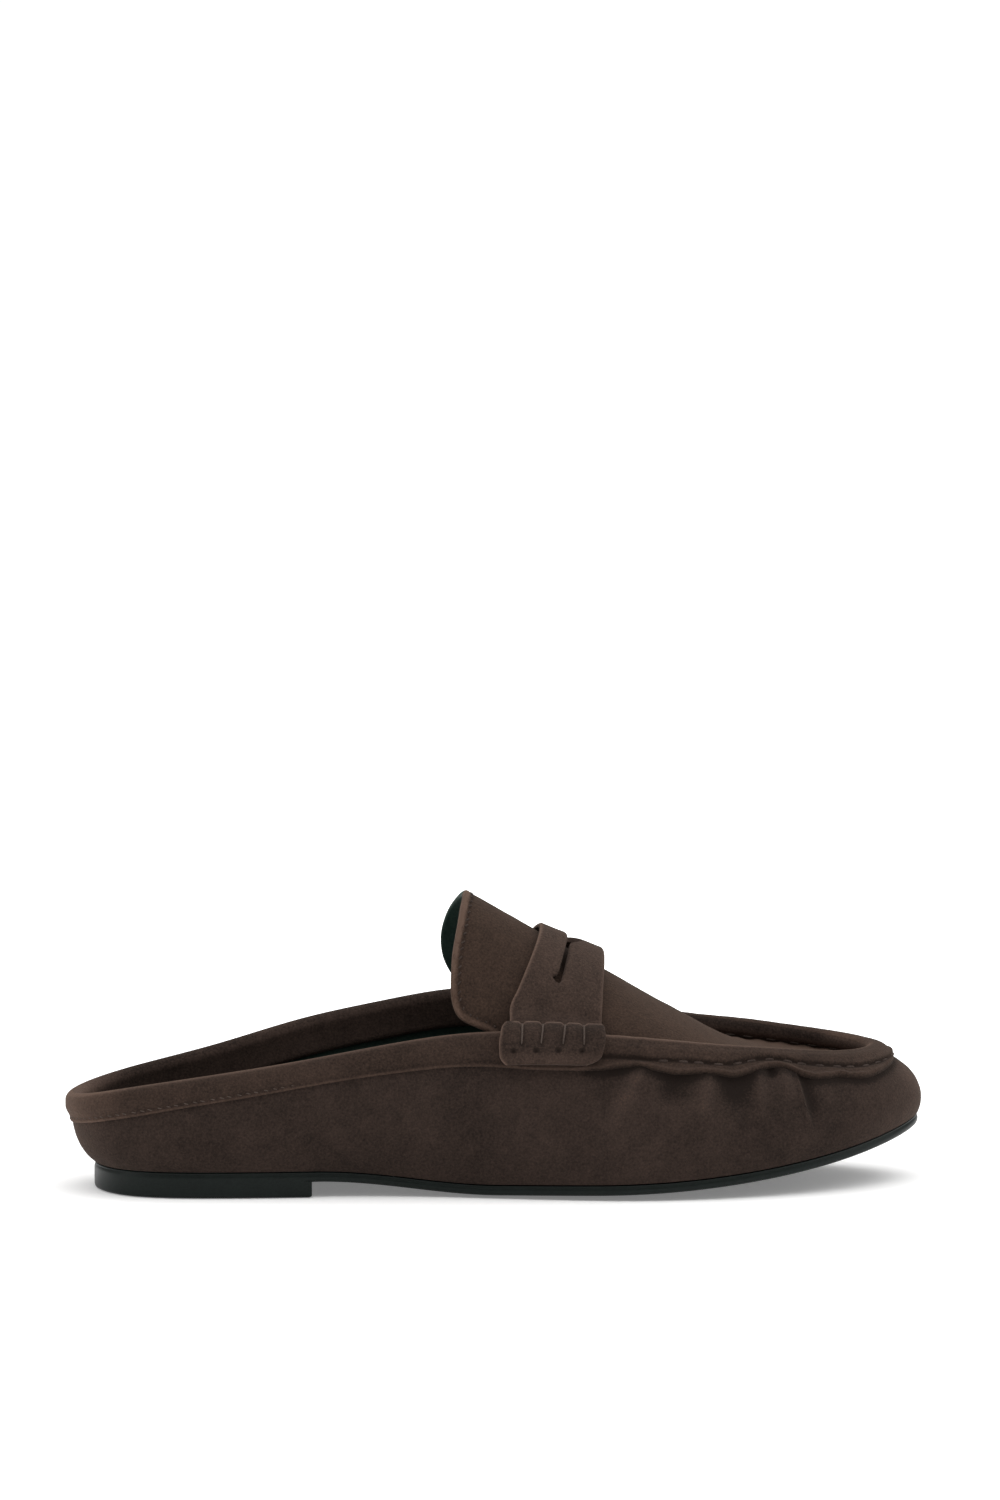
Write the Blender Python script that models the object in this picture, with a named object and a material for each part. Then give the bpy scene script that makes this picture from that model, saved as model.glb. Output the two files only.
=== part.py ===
"""A right-foot loafer mule: a low suede moccasin slipper with an open back.

The shoe lies along X with its toe at +X, its lateral side at -Y and the floor at Z = 0.
All lengths are in metres. The pieces are built from a heel tip at x = 0, and an empty then
brings the middle of the shoe's bounding box over the origin.
"""

import math
from collections import namedtuple

import bmesh
import bpy
import numpy as np

# Driving sizes of the shoe
SOLE_LENGTH = 0.250
BALL_WIDTH = 0.081
THROAT_HEIGHT = 0.050
TONGUE_HEIGHT = 0.0882
INSTEP_SLOPE = math.radians(30.3)

# Sole and heel
SOLE_THICKNESS = 0.0030
HEEL_HEIGHT = 0.0045
HEEL_LENGTH = 0.065
HEEL_HOLLOW = 0.004
HEEL_INSET = 0.0004
TREAD_START = 0.122
TREAD_END = 0.148
TOE_SPRING = 0.0163
TREAD_HALF_FLAT = 0.012
EDGE_LIFT = 0.0014
INSOLE_THICKNESS = 0.0024

# Leather thicknesses, and the clearance left between two pieces that touch
WALL = 0.0018
BAND = 0.0014
APRON = 0.0018
STRAP = 0.0018
GAP = 0.0003

# Heights along the skin, measured down from the upper's top edge
BAND_OUTSIDE = 0.0065
BAND_INSIDE = 0.0095
APRON_DROP = 0.0026
STRAP_TAB = 0.0080

# Apron and tongue
TONGUE_BACK = 0.1122
TONGUE_EAR = 0.0056
TONGUE_EAR_FADE = 0.024
APRON_BLEND = 0.0045
TOE_DOME = 0.0002
TOE_POINT = 0.020
ARCH_POWER = 1.7

# Saddle strap: where its edges cross the crown and the collar, and how far it stands off
STRAP_CROWN_BACK = 0.1336
STRAP_CROWN_FRONT = 0.1514
STRAP_SIDE_BACK = 0.1180
STRAP_SIDE_FRONT = 0.1500
STRAP_BOW = 0.0039
STRAP_LIFT_BACK = 0.0007
STRAP_LIFT_FRONT = 0.0032
STRAP_START = math.radians(30.0)
TAB_BACK = 0.1195
TAB_FRONT = 0.1510
TAB_CORNER = 0.0030
TAB_SLANT = 0.0030
SLOT_HALF_LENGTH = 0.0232
SLOT_BACK = 0.1426
SLOT_NOTCH = 0.0044
SLOT_SLIT = 0.0016
SLOT_SWEEP = 0.0048

# Mesh fineness
STEPS_PER_SPAN = 3
WALL_STEPS = 8
CURVE_SAMPLES = 25
ROLL_STEPS = 4
ARCH_STEPS = 16

Section = namedtuple(
    "Section",
    "place sole_along sole_lateral sole_medial rim_along rim_lateral rim_medial"
    " rise_lateral rise_medial low_swell high_swell band",
)

# Along is a share of SOLE_LENGTH, lateral and medial of half BALL_WIDTH, rise of THROAT_HEIGHT,
# the two swells of half BALL_WIDTH and band of BAND_OUTSIDE. The rim is the upper's top edge.
SECTIONS = (
    Section("heel tip", 0.003, 0.00, 0.00, -0.0245, 0.00, 0.00, 0.520, 0.520, 0.155, 0.000, 1.0),
    Section("heel corner", 0.026, 0.42, 0.41, -0.003, 0.44, 0.43, 0.556, 0.540, 0.135, 0.015, 1.0),
    Section("heel side", 0.088, 0.65, 0.63, 0.058, 0.66, 0.64, 0.622, 0.614, 0.115, 0.045, 1.0),
    Section("heel front", 0.188, 0.70, 0.67, 0.154, 0.73, 0.70, 0.698, 0.732, 0.105, 0.070, 1.0),
    Section("waist rear", 0.288, 0.69, 0.62, 0.254, 0.76, 0.72, 0.781, 0.876, 0.110, 0.085, 1.0),
    Section("waist", 0.388, 0.72, 0.61, 0.352, 0.79, 0.75, 0.873, 0.979, 0.115, 0.095, 1.0),
    Section("waist front", 0.484, 0.84, 0.69, 0.448, 0.82, 0.79, 0.938, 1.050, 0.110, 0.110, 1.0),
    Section("ball rear", 0.576, 0.97, 0.83, 0.540, 0.84, 0.82, 0.940, 1.030, 0.105, 0.140, 1.0),
    Section("ball", 0.664, 1.03, 0.95, 0.628, 0.84, 0.84, 0.914, 0.968, 0.100, 0.175, 1.15),
    Section("ball front", 0.748, 0.98, 0.98, 0.710, 0.79, 0.83, 0.872, 0.900, 0.095, 0.210, 1.20),
    Section("toe side", 0.824, 0.86, 0.91, 0.784, 0.69, 0.78, 0.830, 0.860, 0.090, 0.240, 1.20),
    Section("toe shoulder", 0.892, 0.67, 0.77, 0.847, 0.53, 0.68, 0.796, 0.830, 0.080, 0.275, 1.40),
    Section("toe corner", 0.948, 0.42, 0.58, 0.901, 0.35, 0.53, 0.774, 0.805, 0.070, 0.315, 1.45),
    Section("toe front", 0.986, 0.15, 0.37, 0.935, 0.13, 0.34, 0.772, 0.788, 0.060, 0.350, 1.15),
    Section("toe tip", 1.000, -0.12, 0.12, 0.947, -0.11, 0.11, 0.778, 0.778, 0.055, 0.370, 0.90),
)

# How the wall leaves the sole and reaches the rim, as shares of its height
LOW_REACH = 0.24
HIGH_REACH = 0.30

# The tongue's back edge: share of its rise, and the share of TONGUE_EAR that it stands back there
Ear = namedtuple("Ear", "share lateral medial")
EARS = (
    Ear(0.00, 0.00, 0.00),
    Ear(0.08, 0.62, 0.22),
    Ear(0.18, 0.91, 0.50),
    Ear(0.29, 1.00, 0.78),
    Ear(0.45, 0.92, 0.98),
    Ear(0.62, 0.66, 0.90),
    Ear(0.80, 0.33, 0.55),
    Ear(1.00, 0.00, 0.00),
)

MATERIALS = {
    "suede": ((0.045, 0.030, 0.025), 0.95),
    "lining": ((0.012, 0.016, 0.014), 0.55),
    "sole": ((0.012, 0.016, 0.014), 0.38),
}

SPANS = 2 * (len(SECTIONS) - 1)
TOE_STATION = len(SECTIONS) - 1


def around(lateral, medial):
    """A column pair of SECTIONS as one ring: lateral side heel to toe, then medial side back."""
    first = [lateral(row) for row in SECTIONS]
    back = [medial(row) for row in SECTIONS[-2:0:-1]]
    return np.array(first + back, float)


def closed_spline(knots):
    """Tangents that make a closed cubic through the knots smooth, one unit of station apart."""
    count = len(knots)
    system = 4 * np.eye(count) + np.roll(np.eye(count), 1, 0) + np.roll(np.eye(count), -1, 0)
    pull = 3 * (np.roll(knots, -1, 0) - np.roll(knots, 1, 0))
    return np.linalg.solve(system, pull)


def along_spline(knots, tangents, station):
    """Points of the closed cubic at an array of stations."""
    station = np.mod(np.asarray(station, float), len(knots))
    first = np.floor(station).astype(int) % len(knots)
    second = (first + 1) % len(knots)
    s = (station - np.floor(station)).reshape(station.shape + (1,) * (knots.ndim - 1))
    return (
        knots[first] * (2 * s**3 - 3 * s**2 + 1)
        + tangents[first] * (s**3 - 2 * s**2 + s)
        + knots[second] * (3 * s**2 - 2 * s**3)
        + tangents[second] * (s**3 - s**2)
    )


HALF_BALL = BALL_WIDTH / 2
SOLE_RING = np.stack(
    [
        around(lambda r: r.sole_along, lambda r: r.sole_along) * SOLE_LENGTH,
        around(lambda r: -r.sole_lateral, lambda r: r.sole_medial) * HALF_BALL,
    ],
    axis=1,
)
RIM_RING = np.stack(
    [
        around(lambda r: r.rim_along, lambda r: r.rim_along) * SOLE_LENGTH,
        around(lambda r: -r.rim_lateral, lambda r: r.rim_medial) * HALF_BALL,
        around(lambda r: r.rise_lateral, lambda r: r.rise_medial) * THROAT_HEIGHT,
    ],
    axis=1,
)
SWELL_RING = np.stack(
    [
        around(lambda r: r.low_swell, lambda r: r.low_swell) * HALF_BALL,
        around(lambda r: r.high_swell, lambda r: r.high_swell) * HALF_BALL,
    ],
    axis=1,
)
BAND_RING = around(lambda r: r.band, lambda r: r.band) * BAND_OUTSIDE
SOLE_TANGENTS = closed_spline(SOLE_RING)
RIM_TANGENTS = closed_spline(RIM_RING)
SWELL_TANGENTS = closed_spline(SWELL_RING)
BAND_TANGENTS = closed_spline(BAND_RING)


def tread(x, y):
    """Height of the outsole's underside: heel seat, waist, flat tread, toe spring, raised edges."""
    waist_start = HEEL_LENGTH
    waist = np.clip((x - waist_start) / (TREAD_START - waist_start), 0, 1)
    spring = np.clip((x - TREAD_END) / (SOLE_LENGTH - TREAD_END), 0, None)
    beyond = np.clip((np.abs(y) - TREAD_HALF_FLAT) / (HALF_BALL - TREAD_HALF_FLAT), 0, None)
    return (
        HEEL_HEIGHT * (0.5 + 0.5 * np.cos(math.pi * waist))
        + TOE_SPRING * spring**2
        + EDGE_LIFT * waist * beyond**2
    )


def sole_top(x, y):
    return tread(x, y) + SOLE_THICKNESS


def sole_edge(station, inset=0.0):
    """The sole's outline in plan, drawn in by an inset."""
    point = along_spline(SOLE_RING, SOLE_TANGENTS, station)
    return point - inset * outward(station)


def outward(station):
    """Horizontal unit vectors that point out of the sole's outline."""
    step = 0.02
    ahead = along_spline(SOLE_RING, SOLE_TANGENTS, np.asarray(station) + step)
    behind = along_spline(SOLE_RING, SOLE_TANGENTS, np.asarray(station) - step)
    way = ahead - behind
    normal = np.stack([way[..., 1], -way[..., 0]], axis=-1)
    return normal / np.linalg.norm(normal, axis=-1, keepdims=True)


def wall_curves(station):
    """The upper's outer skin from rim to sole at each station, as curves of CURVE_SAMPLES points."""
    station = np.atleast_1d(np.asarray(station, float))
    foot_plan = along_spline(SOLE_RING, SOLE_TANGENTS, station)
    foot_height = sole_top(foot_plan[:, 0], foot_plan[:, 1]) + GAP
    foot = np.column_stack([foot_plan, foot_height])
    rim = along_spline(RIM_RING, RIM_TANGENTS, station)
    swell = along_spline(SWELL_RING, SWELL_TANGENTS, station)
    out = np.column_stack([outward(station), np.zeros(len(station))])
    height = (rim[:, 2] - foot[:, 2])[:, None]
    up = np.array([0.0, 0.0, 1.0])
    low = foot + out * swell[:, :1] + up * height * LOW_REACH
    high = rim + out * swell[:, 1:] - up * height * HIGH_REACH
    s = np.linspace(0, 1, CURVE_SAMPLES)[None, :, None]
    parts = (rim[:, None], high[:, None], low[:, None], foot[:, None])
    return (
        parts[0] * (1 - s) ** 3
        + parts[1] * 3 * s * (1 - s) ** 2
        + parts[2] * 3 * s**2 * (1 - s)
        + parts[3] * s**3
    )


def wall_skin(station, drop):
    """Points on the outer skin at a distance drop below the rim, and the skin's full depth."""
    curves = wall_curves(station)
    steps = np.linalg.norm(np.diff(curves, axis=1), axis=2)
    depth = np.concatenate([np.zeros((len(curves), 1)), np.cumsum(steps, axis=1)], axis=1)
    drop = np.broadcast_to(np.asarray(drop, float), (len(curves),))
    points = np.array(
        [
            [np.interp(d, along, curve[:, axis]) for axis in range(3)]
            for d, along, curve in zip(drop, depth, curves)
        ]
    )
    return points, depth[:, -1]


def wall(station, drop, out=0.0):
    """Points at a distance out of the outer skin, with the skin's outward and upward directions."""
    station = np.atleast_1d(np.asarray(station, float))
    step, slide = 0.02, 0.0006
    depth = wall_skin(station, 0.0)[1]
    drop = np.clip(np.broadcast_to(np.asarray(drop, float), station.shape), 0.0, depth)
    point = wall_skin(station, drop)[0]
    ahead = wall_skin(station + step, drop)[0] - wall_skin(station - step, drop)[0]
    higher = np.maximum(drop - slide, 0.0)
    lower = np.minimum(drop + slide, depth)
    rise = wall_skin(station, higher)[0] - wall_skin(station, lower)[0]
    rise /= np.linalg.norm(rise, axis=1, keepdims=True)
    normal = np.cross(ahead, rise)
    normal /= np.linalg.norm(normal, axis=1, keepdims=True)
    return point + normal * np.reshape(out, (-1, 1)), normal, rise


def roll(station, radius, angle):
    """Points on a half round over the upper's top edge; angle 0 is outside, pi is inside."""
    rim, normal, rise = wall(station, 0.0)
    centre = rim - normal * WALL / 2
    return centre + radius * (normal * math.cos(angle) + rise * math.sin(angle))


def new_object(name, mesh_maker, material):
    mesh = bpy.data.meshes.new(name)
    shape = bmesh.new()
    mesh_maker(shape)
    bmesh.ops.remove_doubles(shape, verts=shape.verts, dist=1e-6)
    bmesh.ops.dissolve_degenerate(shape, edges=shape.edges, dist=1e-7)
    bmesh.ops.recalc_face_normals(shape, faces=shape.faces)
    if shape.calc_volume(signed=True) < 0:
        bmesh.ops.reverse_faces(shape, faces=shape.faces)
    shape.to_mesh(mesh)
    shape.free()
    mesh.shade_smooth()
    mesh.set_sharp_from_angle(angle=math.radians(40))
    made = bpy.data.objects.new(name, mesh)
    mesh.materials.append(material)
    bpy.context.scene.collection.objects.link(made)
    return made


def ring_loft(rings):
    """A mesh maker that joins closed cross-sections all the way around the shoe."""

    def make(shape):
        rows = [[shape.verts.new(point) for point in ring] for ring in rings]
        for row, following in zip(rows, rows[1:] + rows[:1]):
            for i in range(len(row)):
                j = (i + 1) % len(row)
                shape.faces.new((row[i], row[j], following[j], following[i]))

    return make


def sheet_solid(top, bottom):
    """A mesh maker for a sheet between two grids of points, with its edge walls."""

    def make(shape):
        upper = [[shape.verts.new(point) for point in row] for row in top]
        lower = [[shape.verts.new(point) for point in row] for row in bottom]
        rows, columns = len(upper), len(upper[0])
        for i in range(rows - 1):
            for j in range(columns - 1):
                for side in (upper, lower):
                    shape.faces.new(
                        (side[i][j], side[i + 1][j], side[i + 1][j + 1], side[i][j + 1])
                    )
        rim = [(i, 0) for i in range(rows)]
        rim += [(rows - 1, j) for j in range(1, columns)]
        rim += [(i, columns - 1) for i in range(rows - 2, -1, -1)]
        rim += [(0, j) for j in range(columns - 2, 0, -1)]
        for (i, j), (k, m) in zip(rim, rim[1:] + rim[:1]):
            shape.faces.new((upper[i][j], upper[k][m], lower[k][m], lower[i][j]))

    return make


def loop_stations():
    return np.arange(SPANS * STEPS_PER_SPAN) / STEPS_PER_SPAN


def upper_rings():
    """Cross-sections of the moccasin wall: down its outside, then back up its inside."""
    station = loop_stations()
    depth = wall_skin(station, 0.0)[1]
    shares = np.linspace(0, 1, WALL_STEPS + 1)
    outside = [wall(station, depth * share)[0] for share in shares]
    inside = [wall(station, depth * share, -WALL)[0] for share in shares]
    for ring in inside:
        floor = sole_top(ring[:, 0], ring[:, 1]) + GAP
        ring[:, 2] = np.maximum(ring[:, 2], floor)
    inside[-1][:, 2] = sole_top(inside[-1][:, 0], inside[-1][:, 1]) + GAP
    return np.stack(outside + inside[::-1], axis=1)


def band_rings():
    """Cross-sections of the folded band that straddles the upper's top edge."""
    station = loop_stations()
    near, far = GAP, GAP + BAND
    inner_radius, outer_radius = WALL / 2 + near, WALL / 2 + far
    angles = [math.pi * i / ROLL_STEPS for i in range(ROLL_STEPS + 1)]
    depth = along_spline(BAND_RING, BAND_TANGENTS, station)
    outside = [wall(station, depth * s, far)[0] for s in (1.0, 0.55)]
    over = [roll(station, outer_radius, angle) for angle in angles]
    inside = [wall(station, BAND_INSIDE * s, -WALL - far)[0] for s in (0.55, 1.0)]
    back_inside = [wall(station, BAND_INSIDE * s, -WALL - near)[0] for s in (1.0, 0.55)]
    under = [roll(station, inner_radius, angle) for angle in reversed(angles)]
    back_outside = [wall(station, depth * s, near)[0] for s in (0.55, 1.0)]
    return np.stack(outside + over + inside + back_inside + under + back_outside, axis=1)


def seam_lines(samples=600):
    """The apron's two edges, lateral and medial, from the throat to the toe, as dense lines."""
    reach = -(WALL + 2 * GAP + BAND)
    lateral = wall(np.linspace(5.0, TOE_STATION, samples), APRON_DROP, reach)[0]
    medial = wall(SPANS - np.linspace(5.0, TOE_STATION, samples), APRON_DROP, reach)[0]
    return lateral, medial


SEAM_LATERAL, SEAM_MEDIAL = seam_lines()
SEAM_TIP = SEAM_LATERAL[-1, 0]


def seam(x):
    """Lateral and medial ends of the apron's section at x, each as (y, z)."""
    ends = []
    for line in (SEAM_LATERAL, SEAM_MEDIAL):
        ends.append([np.interp(x, line[:, 0], line[:, axis]) for axis in (1, 2)])
    return ends


def crown(x):
    """Height of the apron's ridge: a straight ramp down from the tongue, then the toe's floor."""
    (_, lateral), (_, medial) = seam(x)
    floor = (lateral + medial) / 2 + TOE_DOME
    ramp = TONGUE_HEIGHT - math.tan(INSTEP_SLOPE) * (x - TONGUE_BACK)
    over = ramp - floor
    return floor + (over + np.sqrt(over**2 + APRON_BLEND**2)) / 2


def apron_skin(x, angle):
    """The apron's outer surface; angle runs across it, 0 at the lateral seam, pi at the medial."""
    (lateral_y, lateral_z), (medial_y, medial_z) = seam(x)
    across = (1 - np.cos(angle)) / 2
    level = lateral_z + (medial_z - lateral_z) * across
    width = medial_y - lateral_y
    arch = np.abs(np.sin(angle)) ** ARCH_POWER * np.clip(width / TOE_POINT, 0, 1)
    return np.stack(
        [
            x,
            lateral_y + width * across,
            level + np.maximum(crown(x) - level, 0) * arch,
        ],
        axis=-1,
    )


def apron_normal(x, angle):
    step, lean = 0.0006, math.radians(6)
    x = np.minimum(x, SEAM_TIP - 0.002)
    angle = np.clip(angle, lean, math.pi - lean)
    along = apron_skin(x + step, angle) - apron_skin(x - step, angle)
    across = apron_skin(x, angle + lean / 3) - apron_skin(x, angle - lean / 3)
    normal = np.cross(along, across)
    return normal / np.linalg.norm(normal, axis=-1, keepdims=True)


def ear(angle):
    """How far the tongue's back edge stands behind TONGUE_BACK."""
    share = np.abs(np.sin(angle)) ** ARCH_POWER
    places, lateral, medial = np.array(EARS).T
    lateral_back = np.interp(share, places, lateral)
    medial_back = np.interp(share, places, medial)
    return TONGUE_EAR * np.where(angle < math.pi / 2, lateral_back, medial_back)


def apron_grids():
    """Outer and inner grids of the apron and tongue, as rows from the tongue to the toe."""
    station = np.arange(6.0 * STEPS_PER_SPAN, TOE_STATION * STEPS_PER_SPAN + 0.5)
    station = station / STEPS_PER_SPAN
    rows = wall(station, APRON_DROP, -(WALL + 2 * GAP + BAND))[0][:, 0]
    rows[0], rows[-1] = TONGUE_BACK, SEAM_TIP
    angle = np.linspace(0, math.pi, ARCH_STEPS + 1)
    x, phi = np.meshgrid(rows, angle, indexing="ij")
    fade = np.clip(1 - (x - TONGUE_BACK) / TONGUE_EAR_FADE, 0, 1) ** 2
    x = x - ear(phi) * fade
    outer = apron_skin(x, phi)
    inner = outer - APRON * apron_normal(x, phi)
    for grid in (outer, inner):
        grid[-1] = grid[-1].mean(axis=0)
    return outer, inner


def strap_edges(share):
    """x of the strap's back and front edges where the arch has this share of its rise."""
    back = STRAP_SIDE_BACK + (STRAP_CROWN_BACK - STRAP_SIDE_BACK) * share
    back = back + STRAP_BOW * share * (1 - share)
    front = STRAP_SIDE_FRONT + (STRAP_CROWN_FRONT - STRAP_SIDE_FRONT) * share
    return back, front


def strap_over_apron(angle, across):
    """Middle surface of the strap over the instep; across runs from its back to its front edge."""
    share = abs(math.sin(angle)) ** ARCH_POWER
    back, front = strap_edges(share)
    x = back + (front - back) * across
    crown_lift = STRAP_LIFT_BACK + (STRAP_LIFT_FRONT - STRAP_LIFT_BACK) * across
    lift = GAP + STRAP / 2 + crown_lift * share**2
    phi = np.full_like(x, angle)
    return apron_skin(x, phi) + apron_normal(x, phi) * lift[:, None]


def rim_station(x, medial):
    """The station at which the rim is at x, on the lateral or the medial side."""
    stations = np.linspace(1.0, TOE_STATION, 400)
    places = along_spline(RIM_RING, RIM_TANGENTS, stations)[:, 0]
    found = np.interp(x, places, stations)
    return SPANS - found if medial else found


def strap_end(across, medial):
    """Rows of the strap's middle surface from its tab's lower edge up over the band."""
    stand = 2 * GAP + BAND + STRAP / 2
    rows = []
    for drop, inset in ((1.0, TAB_CORNER), (0.86, TAB_CORNER * 0.3), (0.6, 0.0), (0.25, 0.0)):
        slant = inset + TAB_SLANT * drop**2
        x = TAB_BACK + inset + (TAB_FRONT - TAB_BACK - inset - slant) * across
        rows.append(wall(rim_station(x, medial), STRAP_TAB * drop, stand)[0])
    x = TAB_BACK + (TAB_FRONT - TAB_BACK) * across
    for angle in (0.0, 0.22 * math.pi, 0.44 * math.pi):
        rows.append(roll(rim_station(x, medial), WALL / 2 + stand, angle))
    return rows


def strap_middle():
    across = np.linspace(0, 1, 7)
    angles = np.linspace(STRAP_START, math.pi - STRAP_START, ARCH_STEPS - 1)
    rows = strap_end(across, medial=False)
    rows += [strap_over_apron(angle, across) for angle in angles]
    rows += strap_end(across, medial=True)[::-1]
    return np.array(rows)


def grid_normals(grid):
    """Unit normals of a grid of points, from central differences."""
    down = np.gradient(grid, axis=0)
    over = np.gradient(grid, axis=1)
    normal = np.cross(over, down)
    return normal / np.linalg.norm(normal, axis=-1, keepdims=True)


def slot_outline():
    """The strap's slot in plan: a slit that sweeps back to each side, notched at the crown."""
    shares = np.linspace(-1, 1, 15)
    back = [(SLOT_BACK - SLOT_SWEEP * s**2, s * SLOT_HALF_LENGTH) for s in shares]
    front = []
    for s in shares[-2:0:-1]:
        slit = SLOT_SLIT * (1 - s**4) ** 0.5
        notch = SLOT_NOTCH * max(0.0, 1 - abs(s) / 0.36)
        front.append((SLOT_BACK - SLOT_SWEEP * s**2 + slit + notch, s * SLOT_HALF_LENGTH))
    return back + front


def make_strap(material):
    middle = strap_middle()
    normal = grid_normals(middle)
    if normal[len(normal) // 2, 3, 2] < 0:
        normal = -normal
    outer, inner = middle + normal * STRAP / 2, middle - normal * STRAP / 2
    strap = new_object("saddle_strap", sheet_solid(outer, inner), material)

    def prism(shape):
        low, high = THROAT_HEIGHT, TONGUE_HEIGHT * 1.2
        bottom = [shape.verts.new((x, y, low)) for x, y in slot_outline()]
        top = [shape.verts.new((x, y, high)) for x, y in slot_outline()]
        shape.faces.new(bottom)
        shape.faces.new(top)
        for i in range(len(top)):
            j = (i + 1) % len(top)
            shape.faces.new((bottom[i], bottom[j], top[j], top[i]))

    cutter = new_object("slot_cutter", prism, material)
    cutter.hide_render = True
    cutter.display_type = "WIRE"
    cut = strap.modifiers.new("slot", "BOOLEAN")
    cut.operation = "DIFFERENCE"
    cut.object = cutter
    return strap


def sole_rows(inset, columns):
    """Points across the shoe from lateral to medial edge, a row for each pair of stations."""
    station = np.arange(TOE_STATION * STEPS_PER_SPAN + 1) / STEPS_PER_SPAN
    lateral = sole_edge(station, inset)
    medial = sole_edge(SPANS - station, inset)
    share = np.linspace(0, 1, columns + 1)[None, :, None]
    return lateral[:, None] * (1 - share) + medial[:, None] * share


def raised(plan, height):
    return np.concatenate([plan, height(plan[..., 0], plan[..., 1])[..., None]], axis=-1)


def make_outsole(material):
    plan = sole_rows(0.0, 8)
    return new_object("outsole", sheet_solid(raised(plan, sole_top), raised(plan, tread)), material)


def make_insole(material):
    plan = sole_rows(WALL + 2 * GAP, 6)
    low = raised(plan, lambda x, y: sole_top(x, y) + GAP)
    high = raised(plan, lambda x, y: sole_top(x, y) + GAP + INSOLE_THICKNESS)
    return new_object("insole", sheet_solid(high, low), material)


def make_heel(material):
    """The low heel block, its front hollowed in plan."""
    station = np.linspace(0, 4, 17)
    lateral = sole_edge(station, HEEL_INSET)
    medial = sole_edge(SPANS - station, HEEL_INSET)
    rows = []
    for share in np.linspace(0, 1, 17):
        x = lateral[0, 0] + (HEEL_LENGTH - lateral[0, 0]) * share**1.5
        left = np.interp(x, lateral[:, 0], lateral[:, 1])
        right = np.interp(x, medial[:, 0], medial[:, 1])
        across = np.linspace(0, 1, 9)
        y = left + (right - left) * across
        hollow = HEEL_HOLLOW * share**4 * (1 - (2 * across - 1) ** 2)
        rows.append(np.column_stack([x - hollow, y]))
    plan = np.array(rows)
    low = raised(plan, lambda x, y: np.zeros_like(x))
    high = raised(plan, lambda x, y: tread(x, y) - GAP)
    return new_object("heel", sheet_solid(high, low), material)


def make_material(name):
    colour, roughness = MATERIALS[name]
    material = bpy.data.materials.new(name)
    material.use_nodes = True
    shader = material.node_tree.nodes["Principled BSDF"]
    shader.inputs["Base Color"].default_value = (*colour, 1.0)
    shader.inputs["Roughness"].default_value = roughness
    shader.inputs["Metallic"].default_value = 0.0
    return material


def centre_on_origin(pieces):
    """Parents the pieces to an empty that puts the middle of their bounding box over the origin."""
    corners = np.array([vertex.co for piece in pieces for vertex in piece.data.vertices])
    middle = (corners.min(0) + corners.max(0)) / 2
    shoe = bpy.data.objects.new("shoe", None)
    bpy.context.scene.collection.objects.link(shoe)
    shoe.location = (-middle[0], -middle[1], 0.0)
    for piece in pieces:
        piece.parent = shoe


def main():
    for old in list(bpy.data.objects):
        bpy.data.objects.remove(old, do_unlink=True)
    suede, lining, sole = (make_material(name) for name in ("suede", "lining", "sole"))
    apron_outer, apron_inner = apron_grids()
    pieces = [
        make_outsole(sole),
        make_heel(sole),
        make_insole(lining),
        new_object("upper", ring_loft(upper_rings()), suede),
        new_object("collar_band", ring_loft(band_rings()), suede),
        new_object("apron", sheet_solid(apron_outer, apron_inner), suede),
        make_strap(suede),
    ]
    centre_on_origin(pieces + [bpy.data.objects["slot_cutter"]])


main()
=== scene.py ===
"""Looks of a right-foot suede loafer mule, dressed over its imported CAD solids."""

import math
from collections import namedtuple

import bmesh
import bpy
import numpy as np
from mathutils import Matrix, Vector


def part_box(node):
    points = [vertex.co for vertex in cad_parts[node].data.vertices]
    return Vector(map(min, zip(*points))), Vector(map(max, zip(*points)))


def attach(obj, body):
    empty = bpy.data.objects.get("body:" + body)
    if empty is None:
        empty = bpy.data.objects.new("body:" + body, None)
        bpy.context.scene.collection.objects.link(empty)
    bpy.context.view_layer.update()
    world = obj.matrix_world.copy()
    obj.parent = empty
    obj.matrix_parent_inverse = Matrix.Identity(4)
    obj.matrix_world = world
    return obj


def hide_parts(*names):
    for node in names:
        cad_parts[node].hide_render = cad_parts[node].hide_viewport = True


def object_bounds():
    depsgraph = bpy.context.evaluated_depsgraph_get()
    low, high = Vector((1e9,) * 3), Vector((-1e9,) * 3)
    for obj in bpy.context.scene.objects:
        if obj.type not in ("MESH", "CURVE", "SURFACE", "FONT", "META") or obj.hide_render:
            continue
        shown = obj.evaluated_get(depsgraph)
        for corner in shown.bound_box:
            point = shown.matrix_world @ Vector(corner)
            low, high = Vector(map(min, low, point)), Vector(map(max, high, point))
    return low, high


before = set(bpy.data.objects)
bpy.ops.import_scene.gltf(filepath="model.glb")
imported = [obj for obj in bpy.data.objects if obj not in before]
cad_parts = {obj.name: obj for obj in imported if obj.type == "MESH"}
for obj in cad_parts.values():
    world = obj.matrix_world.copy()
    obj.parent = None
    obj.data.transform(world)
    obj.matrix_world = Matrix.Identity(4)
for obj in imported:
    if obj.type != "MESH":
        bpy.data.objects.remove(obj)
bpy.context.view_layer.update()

# Sizes shared with the part's source: lengths in metres, angles in radians, the rest shares
SOLE_LENGTH = 0.250
BALL_WIDTH = 0.081
THROAT_HEIGHT = 0.050
TONGUE_HEIGHT = 0.0882
INSTEP_SLOPE = math.radians(30.3)
SOLE_THICKNESS = 0.0030
HEEL_HEIGHT = 0.0045
HEEL_LENGTH = 0.065
HEEL_HOLLOW = 0.004
TREAD_START = 0.122
TREAD_END = 0.148
TOE_SPRING = 0.0163
TREAD_HALF_FLAT = 0.012
EDGE_LIFT = 0.0014
INSOLE_THICKNESS = 0.0024
WALL = 0.0018
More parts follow.
